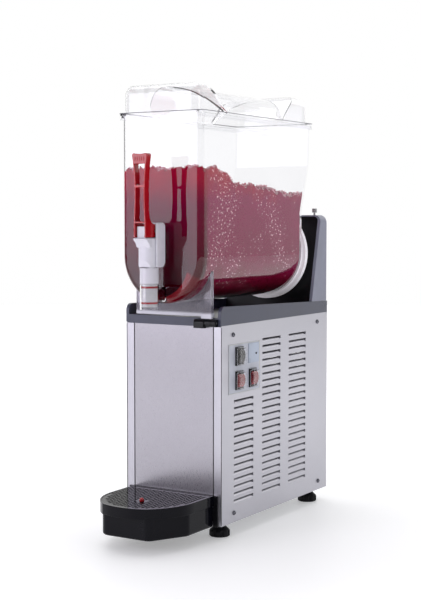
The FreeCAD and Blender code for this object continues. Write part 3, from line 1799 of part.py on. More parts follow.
doc.recompute()
for item in doc.Objects:
    if "Invalid" in item.State or "Error" in item.State:
        raise RuntimeError(f"{item.Label} failed: {item.State}")
os.makedirs("parts", exist_ok=True)
for item in NODES:
    shape = item.Shape
    if shape.isNull() or not shape.isValid():
        raise RuntimeError(f"{item.Label} has no valid shape")
    shape.exportStep(f"parts/{item.Label}.step")
    print(f"{item.Label}: {len(shape.Solids)} solid(s), {shape.Volume / 1000:.2f} cm3")
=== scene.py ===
import math
import random

import bmesh
import bpy
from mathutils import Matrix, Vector, noise


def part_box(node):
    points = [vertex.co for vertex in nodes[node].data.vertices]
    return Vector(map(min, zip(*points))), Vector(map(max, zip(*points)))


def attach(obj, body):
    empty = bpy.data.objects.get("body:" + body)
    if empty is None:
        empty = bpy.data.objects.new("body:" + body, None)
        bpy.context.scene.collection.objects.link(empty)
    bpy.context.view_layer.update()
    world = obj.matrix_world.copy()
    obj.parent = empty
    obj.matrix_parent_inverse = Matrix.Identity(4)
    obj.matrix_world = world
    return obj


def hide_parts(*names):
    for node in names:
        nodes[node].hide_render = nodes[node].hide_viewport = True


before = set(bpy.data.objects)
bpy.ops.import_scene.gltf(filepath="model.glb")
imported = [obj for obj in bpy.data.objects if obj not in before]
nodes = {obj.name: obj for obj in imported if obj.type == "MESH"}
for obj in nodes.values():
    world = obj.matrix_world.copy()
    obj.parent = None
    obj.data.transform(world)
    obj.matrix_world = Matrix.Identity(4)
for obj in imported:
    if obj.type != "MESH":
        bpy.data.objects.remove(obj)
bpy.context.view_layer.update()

# ---------------------------------------------------------------- camera, light and stage

camera_data = bpy.data.cameras.new("camera")
camera_data.lens = 77.46
camera_data.sensor_width = 36
camera_data.clip_end = 60
camera = bpy.data.objects.new("camera", camera_data)
bpy.context.scene.collection.objects.link(camera)
camera.location = (1.2515, -2.0285, 0.5640)
camera.rotation_euler = (math.radians(90 - 3.65), 0, math.radians(31.69))
bpy.context.scene.camera = camera
bpy.context.scene.view_settings.view_transform = "Standard"


def srgb(r, g, b):
    """A colour given as display values from 0 to 255, as linear values."""
    out = []
    for value in (r, g, b):
        value /= 255
        out.append(value / 12.92 if value <= 0.04045 else ((value + 0.055) / 1.055) ** 2.4)
    return tuple(out)


def area_light(name, place, aim, width, height, power, colour=(1, 1, 1)):
    """A soft light at a place, turned towards its aim."""
    data = bpy.data.lights.new(name, "AREA")
    data.shape = "RECTANGLE"
    data.size = width
    data.size_y = height
    data.energy = power
    data.color = colour
    light = bpy.data.objects.new(name, data)
    bpy.context.scene.collection.objects.link(light)
    light.location = place
    light.rotation_euler = (Vector(aim) - Vector(place)).to_track_quat("-Z", "Y").to_euler()


area_light("key_left", (-1.25, -2.15, 0.95), (0, -0.1, 0.6), 1.5, 1.4, 20, (0.96, 0.91, 1.03))
area_light("back_high", (0.45, 2.3, 1.62), (0.1, 0.1, 0.2), 1.3, 0.8, 3)
area_light("side_soft", (2.6, -0.6, 1.5), (0, 0.1, 0.3), 1.0, 1.2, 7)
area_light("top_soft", (-0.3, 0.2, 2.4), (0, 0.1, 0.4), 1.6, 1.6, 16)

BACKDROP_SIDE = (-0.42, 0.9, 0.0)


def studio_world():
    """White behind the object and mid grey behind the camera, which gives contrast to steel and
    clear plastic."""
    world = bpy.data.worlds.new("studio")
    bpy.context.scene.world = world
    world.use_nodes = True
    shaders = world.node_tree.nodes
    links = world.node_tree.links
    direction = shaders.new("ShaderNodeTexCoord")
    facing = shaders.new("ShaderNodeVectorMath")
    facing.operation = "DOT_PRODUCT"
    facing.inputs[1].default_value = BACKDROP_SIDE
    links.new(direction.outputs["Generated"], facing.inputs[0])
    ramp = shaders.new("ShaderNodeValToRGB")
    links.new(facing.outputs["Value"], ramp.inputs[0])
    grey, white = ramp.color_ramp.elements
    grey.position = 0.05
    grey.color = (0.32, 0.32, 0.34, 1)
    white.position = 0.42
    white.color = (1, 1, 1, 1)
    links.new(ramp.outputs[0], shaders["Background"].inputs["Color"])
    shaders["Background"].inputs["Strength"].default_value = 1.0


studio_world()

# ---------------------------------------------------------------- materials


class Shader:
    """A material with a Principled shader and short ways to add texture to it."""

    def __init__(self, name, colour, roughness, metallic=0.0):
        self.material = bpy.data.materials.new(name)
        self.material.use_nodes = True
        self.tree = self.material.node_tree
        self.main = self.tree.nodes["Principled BSDF"]
        self.set("Base Color", (*colour, 1))
        self.set("Roughness", roughness)
        self.set("Metallic", metallic)

    def set(self, socket, value):
        self.main.inputs[socket].default_value = value
        return self

    def add(self, kind, **values):
        item = self.tree.nodes.new(kind)
        for key, value in values.items():
            if hasattr(item, key):
                setattr(item, key, value)
            else:
                item.inputs[key.replace("_", " ")].default_value = value
        return item

    def link(self, source, target):
        self.tree.links.new(source, target)

    def coords(self, scale=(1, 1, 1)):
        """Object coordinates, stretched."""
        texture = self.add("ShaderNodeTexCoord")
        mapping = self.add("ShaderNodeMapping")
        mapping.inputs["Scale"].default_value = scale
        self.link(texture.outputs["Object"], mapping.inputs["Vector"])
        return mapping.outputs["Vector"]

    def axes(self):
        """The object coordinates, one output for each axis."""
        texture = self.add("ShaderNodeTexCoord")
        split = self.add("ShaderNodeSeparateXYZ")
        self.link(texture.outputs["Object"], split.inputs[0])
        return split.outputs

    def noise(self, scale, stretch=(1, 1, 1), detail=4.0, rough=0.6, distortion=0.0):
        item = self.add("ShaderNodeTexNoise")
        item.inputs["Scale"].default_value = scale
        item.inputs["Detail"].default_value = detail
        item.inputs["Roughness"].default_value = rough
        item.inputs["Distortion"].default_value = distortion
        self.link(self.coords(stretch), item.inputs["Vector"])
        return item.outputs["Fac"]

    def maths(self, operation, first, second=None):
        """One sum on sockets or numbers."""
        item = self.add("ShaderNodeMath", operation=operation)
        for place, value in ((0, first), (1, second)):
            if isinstance(value, (int, float)):
                item.inputs[place].default_value = value
            elif value is not None:
                self.link(value, item.inputs[place])
        return item.outputs[0]

    def spread(self, source, low, high, out_low, out_high):
        """Maps low..high onto out_low..out_high, and holds the ends."""
        item = self.add("ShaderNodeMapRange")
        limits = {"From Min": low, "From Max": high, "To Min": out_low, "To Max": out_high}
        for key, value in limits.items():
            item.inputs[key].default_value = value
        self.link(source, item.inputs["Value"])
        return item.outputs["Result"]

    def ramp(self, source, stops):
        item = self.add("ShaderNodeValToRGB")
        elements = item.color_ramp.elements
        while len(elements) < len(stops):
            elements.new(0.5)
        for element, (position, colour) in zip(elements, stops):
            element.position = position
            element.color = (*colour, 1)
        self.link(source, item.inputs["Fac"])
        return item.outputs["Color"]

    def mix(self, factor, first, second, mode="MIX"):
        item = self.add("ShaderNodeMix")
        item.data_type = "RGBA"
        item.blend_type = mode
        factor_socket, colour_a, colour_b = item.inputs[0], item.inputs[6], item.inputs[7]
        for socket, value in ((factor_socket, factor), (colour_a, first), (colour_b, second)):
            if isinstance(value, (int, float)):
                socket.default_value = value
            elif isinstance(value, tuple):
                socket.default_value = (*value, 1)
            else:
                self.link(value, socket)
        return item.outputs[2]

    def colour(self, source):
        self.link(source, self.main.inputs["Base Color"])
        return self

    def rough(self, source):
        self.link(source, self.main.inputs["Roughness"])
        return self

    def bump(self, source, depth, strength=1.0, soften=0.0):
        """Adds relief, in metres, over edges that the soften radius rounds."""
        item = self.add("ShaderNodeBump")
        item.inputs["Strength"].default_value = strength
        item.inputs["Distance"].default_value = depth
        self.link(source, item.inputs["Height"])
        if soften:
            edge = self.add("ShaderNodeBevel", samples=4)
            edge.inputs["Radius"].default_value = soften
            self.link(edge.outputs["Normal"], item.inputs["Normal"])
        self.link(item.outputs["Normal"], self.main.inputs["Normal"])
        return self


def brushed(name, tint, stretch, low=0.26, high=0.42, soften=0.0006, relief=0.000006):
    """Brushed stainless steel: fine scratches along one direction, cloudy polish and faint smears."""
    shader = Shader(name, tint, 0.33, 1.0)
    shader.set("Anisotropic", 0.45)
    scratches = shader.noise(1.0, stretch, detail=3.0, rough=0.7)
    clouds = shader.noise(7.0, (1, 1, 1), detail=2.0)
    shader.rough(shader.spread(scratches, 0.3, 0.7, low, high))
    dark = tuple(value * 0.95 for value in tint)
    light = tuple(min(1, value * 1.04) for value in tint)
    grain = shader.ramp(scratches, [(0.3, dark), (0.7, light)])
    smear = shader.ramp(clouds, [(0.35, (0.96, 0.96, 0.965)), (0.7, (1, 1, 1))])
    shader.colour(shader.mix(1.0, grain, smear, "MULTIPLY"))
    shader.bump(scratches, relief, 0.6, soften)
    return shader.material


def moulded(name, colour, roughness, grain=700.0, depth=0.00005, soften=0.0007, coat=0.0, gloss=0.5):
    """Moulded plastic or paint: a fine grain, soft edges and slight changes of gloss and tone."""
    shader = Shader(name, colour, roughness)
    shader.set("Specular IOR Level", gloss)
    fine = shader.noise(grain, detail=2.0)
    wide = shader.noise(14.0, detail=3.0)
    shader.rough(shader.spread(wide, 0.3, 0.7, max(0.02, roughness - 0.05), roughness + 0.07))
    dark = tuple(value * 0.88 for value in colour)
    light = tuple(min(1, value * 1.12 + 0.002) for value in colour)
    shader.colour(shader.ramp(wide, [(0.3, dark), (0.7, light)]))
    shader.bump(fine, depth, 0.5, soften)
    if coat:
        shader.set("Coat Weight", coat)
        shader.set("Coat Roughness", 0.06)
    return shader.material


def clear(name, roughness=0.02, ior=1.47, facing=0.97, grazing=0.62, edge=0.4, ripples=0.25, coat=0.0):
    """Clear polycarbonate with faint ripples from the mould.  It is greyer where the sight line runs along
    the sheet, and along moulded edges, where the sheet is seen through its thickness."""
    shader = Shader(name, (facing, facing, facing), roughness)
    shader.set("IOR", ior)
    shader.set("Transmission Weight", 1.0)
    shader.set("Coat Weight", coat)
    shader.set("Coat Roughness", roughness)
    turned = shader.add("ShaderNodeLayerWeight", Blend=0.3)
    sheet = shader.ramp(turned.outputs["Facing"], [
        (0.3, (facing, facing, facing * 1.01)), (0.95, (grazing, grazing, grazing * 1.03)),
    ])
    rounded = shader.add("ShaderNodeBevel", samples=6)
    rounded.inputs["Radius"].default_value = 0.0011
    exact = shader.add("ShaderNodeNewGeometry")
    bend = shader.add("ShaderNodeVectorMath", operation="DOT_PRODUCT")
    shader.link(rounded.outputs["Normal"], bend.inputs[0])
    shader.link(exact.outputs["Normal"], bend.inputs[1])
    rim = shader.spread(bend.outputs["Value"], 0.78, 0.97, 1.0, 0.0)
    shader.colour(shader.mix(rim, sheet, (edge, edge, edge * 1.05)))
    if ripples:
        shader.bump(shader.noise(9.0, detail=2.0), 0.0004, ripples)
    return shader


DECK_FLOOR_HALF = 0.0936
DECK_FLOOR_FRONT = -0.1192
DECK_FLOOR_TOP = 0.405


def deck_material():
    """Grey deck plastic that is black on the floor of the tray between the rails, under the bowl: partly
    the plastic's own dark colour and partly painted shade from the bowl above.
    """
    rail = srgb(58, 61, 80)
    shader = Shader("deck_grey", rail, 0.3)
    axes = shader.axes()
    across = shader.maths("ABSOLUTE", axes["X"])
    inside = shader.spread(across, DECK_FLOOR_HALF, DECK_FLOOR_HALF + 0.0003, 1.0, 0.0)
    behind = shader.spread(axes["Y"], DECK_FLOOR_FRONT, DECK_FLOOR_FRONT + 0.0003, 0.0, 1.0)
    low = shader.spread(axes["Z"], DECK_FLOOR_TOP, DECK_FLOOR_TOP + 0.001, 1.0, 0.0)
    dark_floor_and_shade_mask = shader.maths("MULTIPLY", shader.maths("MULTIPLY", inside, behind), low)
    clouds = shader.noise(14.0, detail=3.0)
    dark = tuple(value * 0.88 for value in rail)
    light = tuple(value * 1.1 for value in rail)
    tone = shader.ramp(clouds, [(0.3, dark), (0.7, light)])
    # Black on the tray floor: dark plastic, and painted shade under the bowl.
    shader.colour(shader.mix(dark_floor_and_shade_mask, tone, srgb(10, 10, 12)))
    shader.rough(shader.spread(clouds, 0.3, 0.7, 0.26, 0.36))
    shader.bump(shader.noise(900.0, detail=2.0), 0.00003, 0.5, 0.0012)
    return shader.material


DECK = deck_material()
STEEL_SIDE = brushed("steel_side", srgb(184, 183, 190), (1500, 1500, 60))
STEEL_FRONT = brushed("steel_front", srgb(161, 159, 165), (1600, 1600, 160), 0.26, 0.32, relief=0.000002)
STEEL_PLAIN = brushed("steel_plain", srgb(190, 190, 194), (14, 1200, 1200), 0.3, 0.45)
DRUM_STEEL = brushed("drum_steel", srgb(215, 215, 220), (900, 16, 900), 0.14, 0.24)
GALVANISED = brushed("galvanised", srgb(170, 172, 176), (80, 80, 80), 0.35, 0.55)
ZINC = brushed("zinc", srgb(176, 175, 176), (60, 60, 900), 0.24, 0.4, 0.0003)
SCREW = brushed("screw_steel", srgb(104, 104, 112), (400, 400, 400), 0.1, 0.2, 0.0004)
COVER = moulded("cover_grey", srgb(131, 133, 151), 0.4, 800, 0.00006, 0.0014)
BLACK = moulded("black_plastic", srgb(14, 14, 18), 0.28, 900, 0.00003, 0.0008, gloss=0.25)
BLACK_SATIN = moulded("black_satin", srgb(12, 12, 16), 0.4, 600, 0.00006, 0.0008, gloss=0.15)
BLACK_GLOSS = moulded("black_gloss", srgb(4, 4, 12), 0.1, 500, 0.00001, 0.0016, gloss=0.13)
GRID_BLACK = moulded("grid_black", srgb(2, 2, 5), 0.12, 500, 0.000005, 0.0004, gloss=0.1)
WHITE = moulded("white_plastic", srgb(240, 238, 244), 0.35, 500, 0.00004, 0.0012)
TAP_GREY = moulded("tap_grey", srgb(216, 214, 224), 0.32, 500, 0.00003, 0.0006)
RED = moulded("red_plastic", srgb(168, 4, 20), 0.2, 500, 0.00003, 0.0006, coat=0.5)
RING_RED = moulded("ring_red", srgb(190, 24, 36), 0.4, 500, 0.00003, 0.0)
LAMP_RED = moulded("rocker_red", srgb(138, 8, 26), 0.2, 400, 0.00002, 0.0008)
LABEL = moulded("plate_label", srgb(188, 191, 203), 0.35, 500, 0.00002, 0.0)
PALE = moulded("blank_pale", srgb(176, 186, 204), 0.3, 500, 0.00002, 0.0004)
COPPER = brushed("copper_tube", srgb(214, 150, 112), (200, 200, 200), 0.2, 0.34, 0.0)
FINS = brushed("fin_aluminium", srgb(200, 202, 205), (900, 40, 40), 0.3, 0.45, 0.0)
ENAMEL = moulded("motor_enamel", srgb(30, 30, 33), 0.22, 200, 0.0001, 0.001)
# The white silicone of the flange and gasket glows a little: painted light that lifts it out of the shade
# it sits in.
GLOWING_WHITE_RING = moulded("white_silicone_painted_glow", srgb(240, 236, 243), 0.45, 500, 0.00004, 0.0006)
glowing_white_ring_inputs = GLOWING_WHITE_RING.node_tree.nodes["Principled BSDF"].inputs
glowing_white_ring_inputs["Emission Color"].default_value = (1, 0.97, 1, 1)
glowing_white_ring_inputs["Emission Strength"].default_value = 0.16
BEAD = moulded("rim_bead", srgb(96, 96, 108), 0.2, 500, 0.00001, 0.0)
SEAL = moulded("plate_seal", srgb(196, 197, 176), 0.5, 500, 0.00001, 0.0)
BEZEL = moulded("bezel_pale", srgb(226, 226, 234), 0.3, 500, 0.00001, 0.0)
CLEAR_BOWL = clear("clear_bowl", ior=1.22, facing=0.98, grazing=0.88, edge=0.84, coat=0.64).material
CLEAR_LID = clear("clear_lid", ior=1.16, facing=0.935, grazing=0.84, edge=0.94, coat=0.8).material
HOOD_SHADER = clear("clear_hood", ior=1.1, facing=0.96, grazing=0.86, edge=0.88, ripples=0, coat=0.5)
CLEAR_HOOD = HOOD_SHADER.material


def moulded_clear(name, split_height, milky_and_reflection_above, clear_and_painted_shade_tint, milky_and_reflection_tint, see_through=0.8):
    """Clear plastic that turns milky on one side of a height, where the sheet is thick or ribbed.  On the
    apron the milky band is also a painted reflection of the bright surroundings, and the clear part carries
    painted shade.
    """
    shader = clear(name, 0.05)
    above, below = (0.0, 1.0) if milky_and_reflection_above else (1.0, 0.0)
    see = shader.spread(shader.axes()["Z"], split_height - 0.002, split_height + 0.002, below, above)
    shader.colour(shader.mix(see, milky_and_reflection_tint, clear_and_painted_shade_tint))
    shader.link(shader.spread(see, 0.0, 1.0, 0.15, see_through), shader.main.inputs["Transmission Weight"])
    return shader.material


APRON_CLEAR_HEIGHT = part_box("bowl_apron")[0][2] + 0.009
TUBE_MILKY_HEIGHT = 0.4505
# The apron's milky lower band is thicker plastic and a painted reflection of the bright surroundings; its
# greyer lavender tint above is painted shade of the dark slush behind it, with a painted veil of
# reflection.
APRON_WITH_PAINTED_REFLECTION = moulded_clear("clear_apron_painted_reflection", APRON_CLEAR_HEIGHT, False, (0.6, 0.57, 0.66), srgb(224, 223, 234))
TUBE = moulded_clear("clear_tube", TUBE_MILKY_HEIGHT, True, (0.97, 0.97, 0.98), srgb(226, 223, 233), 1.0)

PAINT = (
    (STEEL_SIDE, ("side_panel_right", "side_panel_left")),
    (STEEL_FRONT, ("front_panel",)),
    (STEEL_PLAIN, ("rear_panel",)),
    (DRUM_STEEL, ("evaporator_drum", "drive_shaft")),
    (GALVANISED, ("base_chassis", "gearbox", "fan_shroud")),
    (ZINC, ("foot_nuts", "adjusting_screw", "latch_pin", "handle_pin")),
    (SCREW, ("panel_screws", "tap_spring")),
    (COPPER, ("copper_pipes", "filter_drier")),
    (FINS, ("condenser",)),
    (ENAMEL, ("drive_motor", "fan_motor", "compressor")),
    (DECK, ("top_deck",)),
    (COVER, ("tower_cover", "electrical_box")),
    (WHITE, ("auger", "tap_piston")),
    (GLOWING_WHITE_RING, ("drum_flange", "bowl_gasket")),
    (CLEAR_BOWL, ("bowl",)),
    (CLEAR_LID, ("lid",)),
    (CLEAR_HOOD, ("switch_hoods",)),
    (APRON_WITH_PAINTED_REFLECTION, ("bowl_apron",)),
    (TUBE, ("spout_tube",)),
    (TAP_GREY, ("tap_housing", "tap_bracket")),
    (RED, ("tap_handle", "level_float")),
    (RING_RED, ("piston_rings",)),
    (LAMP_RED, ("rocker_red_front", "rocker_red_rear")),
    (LABEL, ("control_plate",)),
    (PALE, ("blank_cover",)),
    (BLACK_GLOSS, ("drip_tray",)),
    (GRID_BLACK, ("drip_grid",)),
    (BLACK, ("bowl_latch", "latch_knuckle", "tray_bracket", "rocker_black", "switch_housings")),
    (BLACK, ("indicator_lamp", "cable_gland")),
    (BLACK_SATIN, ("tower_front", "shaft_seal", "fan_blade", "compressor_grommets")),
    (BLACK_SATIN, ("foot_front_left", "foot_front_right", "foot_rear_left", "foot_rear_right")),
)


def dress(item, material):
    if not item.material_slots:
        item.data.materials.append(material)
    for place in item.material_slots:
        place.material = material


for material, painted in PAINT:
    for name in painted:
        dress(nodes[name], material)

# ---------------------------------------------------------------- slush


AUGER_AXIS_Z = 0.497


def wall_cells(shader, axes, scale):
    """Cells laid out over an upright wall that runs along Y."""
    flat = shader.add("ShaderNodeCombineXYZ")
    shader.link(axes["Y"], flat.inputs["X"])
    shader.link(axes["Z"], flat.inputs["Y"])
    item = shader.add("ShaderNodeTexVoronoi", voronoi_dimensions="2D")
    item.inputs["Scale"].default_value = scale
    shader.link(flat.outputs[0], item.inputs["Vector"])
    return item.outputs["Distance"]


def blade_mark(shader, axes):
    """The red blade that shows low down on the front, as an arc about the auger's axis."""
    across = axes["X"]
    up = shader.maths("SUBTRACT", axes["Z"], AUGER_AXIS_Z)
    square = shader.maths("ADD", shader.maths("MULTIPLY", across, across), shader.maths("MULTIPLY", up, up))
    radius = shader.maths("SQRT", square)
    angle = shader.maths("ARCTAN2", up, across)
    inner = shader.spread(angle, -1.5, -0.45, 0.071, 0.058)
    past = shader.maths("SUBTRACT", radius, inner)
    edge = shader.spread(past, 0.0, 0.0012, 0.0, 1.0)
    fade = shader.spread(past, 0.0012, 0.014, 1.0, 0.3)
    start = shader.spread(angle, -0.52, -0.44, 1.0, 0.0)
    end = shader.spread(angle, -1.6, -1.4, 0.0, 1.0)
    ends = shader.maths("MULTIPLY", start, end)
    return shader.maths("MULTIPLY", shader.maths("MULTIPLY", edge, fade), ends)


def bubble_mask(shader, axes):
    """Bubbles against the side walls: wide and fine ones in clusters that thin out towards the rear."""
    sparse = shader.noise(16.0, (1, 1, 0.8), detail=2.0)
    near_front = shader.spread(axes["Y"], -0.10, 0.06, 0.05, -0.07)
    crowd = shader.maths("ADD", sparse, near_front)
    wide = shader.spread(wall_cells(shader, axes, 95.0), 0.08, 0.12, 1.0, 0.0)
    fine = shader.spread(wall_cells(shader, axes, 240.0), 0.1, 0.16, 0.8, 0.0)
    wide_dots = shader.maths("MULTIPLY", wide, shader.spread(crowd, 0.44, 0.56, 0.0, 1.0))
    fine_dots = shader.maths("MULTIPLY", fine, shader.spread(crowd, 0.46, 0.62, 0.0, 0.6))
    return shader.maths("MAXIMUM", wide_dots, fine_dots)


def slush_material(name, pale):
    """Frozen drink against a clear wall: pale grains of ice packed against the sides, darker towards the
    bottom;
    the front and its corners dark red, which is painted shade and a painted dark refraction of the thick
    wall;
    clusters of bubbles with a painted sparkle.  Pale, from 0 to 1, is how frosted it is and how strong a
    painted glow is."""
    shader = Shader(name, srgb(120, 40, 60), 0.45)
    axes = shader.axes()
    grains = shader.noise(420.0, detail=5.0, rough=0.7)
    clumps = shader.noise(26.0, (1, 1, 0.7), detail=5.0, rough=0.6, distortion=0.5)
    height = shader.maths("ADD", axes["Z"], shader.spread(clumps, 0.2, 0.8, -0.022, 0.022))
    level = shader.spread(height, 0.415, 0.64, 0.0, 1.0)
    icy_side = shader.ramp(level, [
        (0.0, srgb(104, 8, 30)), (0.14, srgb(134, 16, 52)), (0.3, srgb(152, 20, 76)),
        (0.8, srgb(166, 32, 92)), (1.0, srgb(196, 26, 62)),
    ])
    grain_tone = shader.ramp(grains, [(0.36, (0.62, 0.5, 0.55)), (0.64, (1.2, 1.5, 1.4))])
    side = shader.mix(0.75, icy_side, grain_tone, "MULTIPLY")
    # The front and its rounded corners are painted dark red: painted shade and a painted dark refraction of
    # the thick front wall, darkest low down.
    front_painted_shade = shader.ramp(level, [
        (0.0, srgb(40, 0, 8)), (0.3, srgb(78, 1, 20)), (0.75, srgb(124, 3, 52)), (1.0, srgb(176, 12, 52)),
    ])
    front = shader.mix(blade_mark(shader, axes), front_painted_shade, srgb(160, 8, 30))
    back = shader.maths("ADD", axes["Y"], shader.spread(clumps, 0.2, 0.8, -0.003, 0.003))
    packed = shader.spread(back, SLUSH_LOW[1] + 0.014, SLUSH_LOW[1] + 0.024, 0.0, 1.0)
    body = shader.mix(packed, front, side)
    above = shader.maths("MULTIPLY", packed, shader.spread(level, 0.12, 0.26, 0.0, 1.0))
    bubbles = shader.maths("MULTIPLY", bubble_mask(shader, axes), above)
    frosted = shader.mix(pale, body, srgb(240, 196, 208))
    shader.colour(shader.mix(bubbles, frosted, srgb(250, 214, 224)))
    # Bubbles get a painted sparkle through emission, and frosted slush gets a faint painted glow all over.
    painted_sparkle_and_glow = shader.mix(bubbles, (pale * 0.2, pale * 0.12, pale * 0.14), (1.0, 0.72, 0.78))
    shader.link(painted_sparkle_and_glow, shader.main.inputs["Emission Color"])
    shader.set("Emission Strength", 0.45)
    shader.rough(shader.spread(grains, 0.3, 0.7, 0.35, 0.6))
    shader.set("Specular IOR Level", 0.0)
    shader.bump(grains, 0.0004, 0.5)
    return shader.material


SLUSH_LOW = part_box("slush_fill")[0]
SLUSH = slush_material("slush", 0.0)
# The crumbs' frost carries a faint painted glow.
CRUMBS = slush_material("slush_crumbs", 0.6)
random.seed(12)


def adopt(item, body, replaced=()):
    """Makes a finished piece ride on its body and stand for the CAD nodes it replaces."""
    bpy.context.scene.collection.objects.link(item)
    if replaced:
        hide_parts(*replaced)
    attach(item, body)


def mesh_of(form, name, material, smooth=True):
    """Turns a finished bmesh into a mesh with its material."""
    mesh = bpy.data.meshes.new(name)
    form.to_mesh(mesh)
    form.free()
    mesh.materials.append(material)
    for face in mesh.polygons:
        face.use_smooth = smooth
    return mesh


def remeshed(node, voxel, smooth=0, ratio=1.0):
    """A mesh with the node's form and softened edges."""
    twin = bpy.data.objects.new("twin", nodes[node].data.copy())
    bpy.context.scene.collection.objects.link(twin)
    step = twin.modifiers.new("remesh", "REMESH")
    step.mode = "VOXEL"
    step.voxel_size = voxel
    if smooth:
        step = twin.modifiers.new("smooth", "SMOOTH")
        step.iterations = smooth
        step.factor = 0.5
    if ratio < 1:
        step = twin.modifiers.new("decimate", "DECIMATE")
        step.ratio = ratio
    graph = bpy.context.evaluated_depsgraph_get()
    mesh = bpy.data.meshes.new_from_object(twin.evaluated_get(graph), depsgraph=graph)
    bpy.data.objects.remove(twin)
    mesh.materials.clear()
    for face in mesh.polygons:
        face.use_smooth = True
    return mesh


def rough_top(x, y):
    """How far the frozen surface stands above or below its mean line: lumps, ridges and small peaks."""
    lumps = noise.fractal(Vector((x * 26, y * 26, 3.0)), 0.9, 2.1, 3) * 0.0036
    peaks = noise.noise(Vector((x * 120, y * 120, 8.0))) * 0.0068
    chips = noise.noise(Vector((x * 260, y * 260, 2.0))) * 0.005
    ridge = max(0.0, noise.noise(Vector((x * 60, y * 60, 1.5)))) * 0.007
    return lumps + ridge + peaks + chips


SLUSH_TOP_LOWEST = 0.592
WALL_GAP = 0.0009


def make_slush():
    """The frozen drink: a rough surface on top, and sides pressed against the bowl's walls."""
    mesh = remeshed("slush_fill", 0.0021)
    form = bmesh.new()
    form.from_mesh(mesh)
    form.normal_update()
    moves = []
    for point in form.verts:
        lift = 0.0
        if point.co.z > SLUSH_TOP_LOWEST:
            weight = min(1.0, max(0.0, (point.normal.z + 0.2) / 0.6))
            lift = rough_top(point.co.x, point.co.y) * weight
        side = Vector((point.normal.x, point.normal.y, 0)) * WALL_GAP
        if point.normal.z < -0.3:
            side = point.normal * WALL_GAP
        moves.append(side + Vector((0, 0, lift)))
    for point, move in zip(form.verts, moves):
        point.co += move
    form.to_mesh(mesh)
    form.free()
    mesh.materials.append(SLUSH)
    adopt(bpy.data.objects.new("slush_ice", mesh), "bowl", ("slush_fill",))
    return mesh


CRUMB_HALF = 0.0801
CRUMB_FRONT = -0.1621


def make_crumbs(slush_mesh):
    """Loose grains of ice: on the frozen surface, thickest where it meets the walls."""
    tops = [point.co.copy() for point in slush_mesh.vertices if point.normal.z > 0.35 and point.co.z > 0.59]
    edge = [spot for spot in tops if abs(spot.x) > 0.072 or spot.y < -0.152]
    rear = [spot for spot in edge if spot.x > 0.06 and spot.y > 0.03]
    chosen = [random.choice(edge) for _ in range(520)] + [random.choice(tops) for _ in range(380)]
    chosen += [random.choice(rear) for _ in range(240)]
    form = bmesh.new()
    for spot in chosen:
        radius = random.uniform(0.0007, 0.0019)
        made = bmesh.ops.create_icosphere(form, subdivisions=1, radius=radius)
        across = random.uniform(-0.002, 0.002)
        along = random.uniform(-0.003, 0.003)
        shift = Vector((across, along, random.uniform(0, 0.0012)))
        for point in made["verts"]:
            jitter = 1 + random.uniform(-0.25, 0.25)
            place = spot + shift + point.co * jitter
            place.x = max(-CRUMB_HALF, min(CRUMB_HALF, place.x))
            place.y = max(CRUMB_FRONT, place.y)
            point.co = place
    mesh = mesh_of(form, "ice_crumbs", CRUMBS, False)
    adopt(bpy.data.objects.new("ice_crumbs", mesh), "bowl", ())


make_crumbs(make_slush())

# ---------------------------------------------------------------- soft edged mouldings


def soft_piece(name, node, body, material, voxel):
    """A piece that replaces a node and has its form, with the soft edges of a moulding."""
    mesh = remeshed(node, voxel, 3, 0.35)
    mesh.materials.append(material)
    adopt(bpy.data.objects.new(name, mesh), body, (node,))


soft_piece("pull_handle", "tap_handle", "handle", RED, 0.00055)
soft_piece("tap_guide", "tap_housing", "bowl", TAP_GREY, 0.0006)
soft_piece("tap_cheeks", "tap_bracket", "bowl", TAP_GREY, 0.0006)

# ---------------------------------------------------------------- small parts


def bead(name, points, radius, material, body, closed=True):
    """A thin round bead along a line of points."""
    curve = bpy.data.curves.new(name, "CURVE")
    curve.dimensions = "3D"
    curve.bevel_depth = radius
    curve.bevel_resolution = 2
    line = curve.splines.new("POLY")
    line.points.add(len(points) - 1)
    for spot, place in zip(line.points, points):
        spot.co = (*place, 1)
    line.use_cyclic_u = closed
    maker = bpy.data.objects.new("maker", curve)
    bpy.context.scene.collection.objects.link(maker)
    graph = bpy.context.evaluated_depsgraph_get()
    mesh = bpy.data.meshes.new_from_object(maker.evaluated_get(graph), depsgraph=graph)
    bpy.data.objects.remove(maker)
    mesh.materials.clear()
    mesh.materials.append(material)
    for face in mesh.polygons:
        face.use_smooth = True
    adopt(bpy.data.objects.new(name, mesh), body, ())


def rounded_rectangle(half, front, back, height, front_radius, rear_radius, steps=6):
    """Points round a level rectangle with round corners."""
    points = []
    corners = (
        (half - front_radius, front + front_radius, front_radius, -90),
        (half - rear_radius, back - rear_radius, rear_radius, 0),
        (rear_radius - half, back - rear_radius, rear_radius, 90),
        (front_radius - half, front + front_radius, front_radius, 180),
    )
    for x, y, radius, start in corners:
        for step in range(steps + 1):
            turn = math.radians(start + 90 * step / steps)
            points.append((x + radius * math.cos(turn), y + radius * math.sin(turn), height))
    return points


def upright_ring(x, low, high, grow_y, grow_z):
    """The corners of an upright rectangle that faces the right side."""
    return [
        (x, low[1] - grow_y, low[2] - grow_z), (x, high[1] + grow_y, low[2] - grow_z),
        (x, high[1] + grow_y, high[2] + grow_z), (x, low[1] - grow_y, high[2] + grow_z),
    ]


LID_LOW, LID_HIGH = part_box("lid")
LID_SHOULDER = 0.7464
LID_BEAD = 0.0006
bead(
    "lid_bead",
    rounded_rectangle(
        LID_HIGH[0] + LID_BEAD, LID_LOW[1] - LID_BEAD, LID_HIGH[1] + LID_BEAD, LID_SHOULDER, 0.0118, 0.0054
    ),
    LID_BEAD, BEAD, "lid",
)

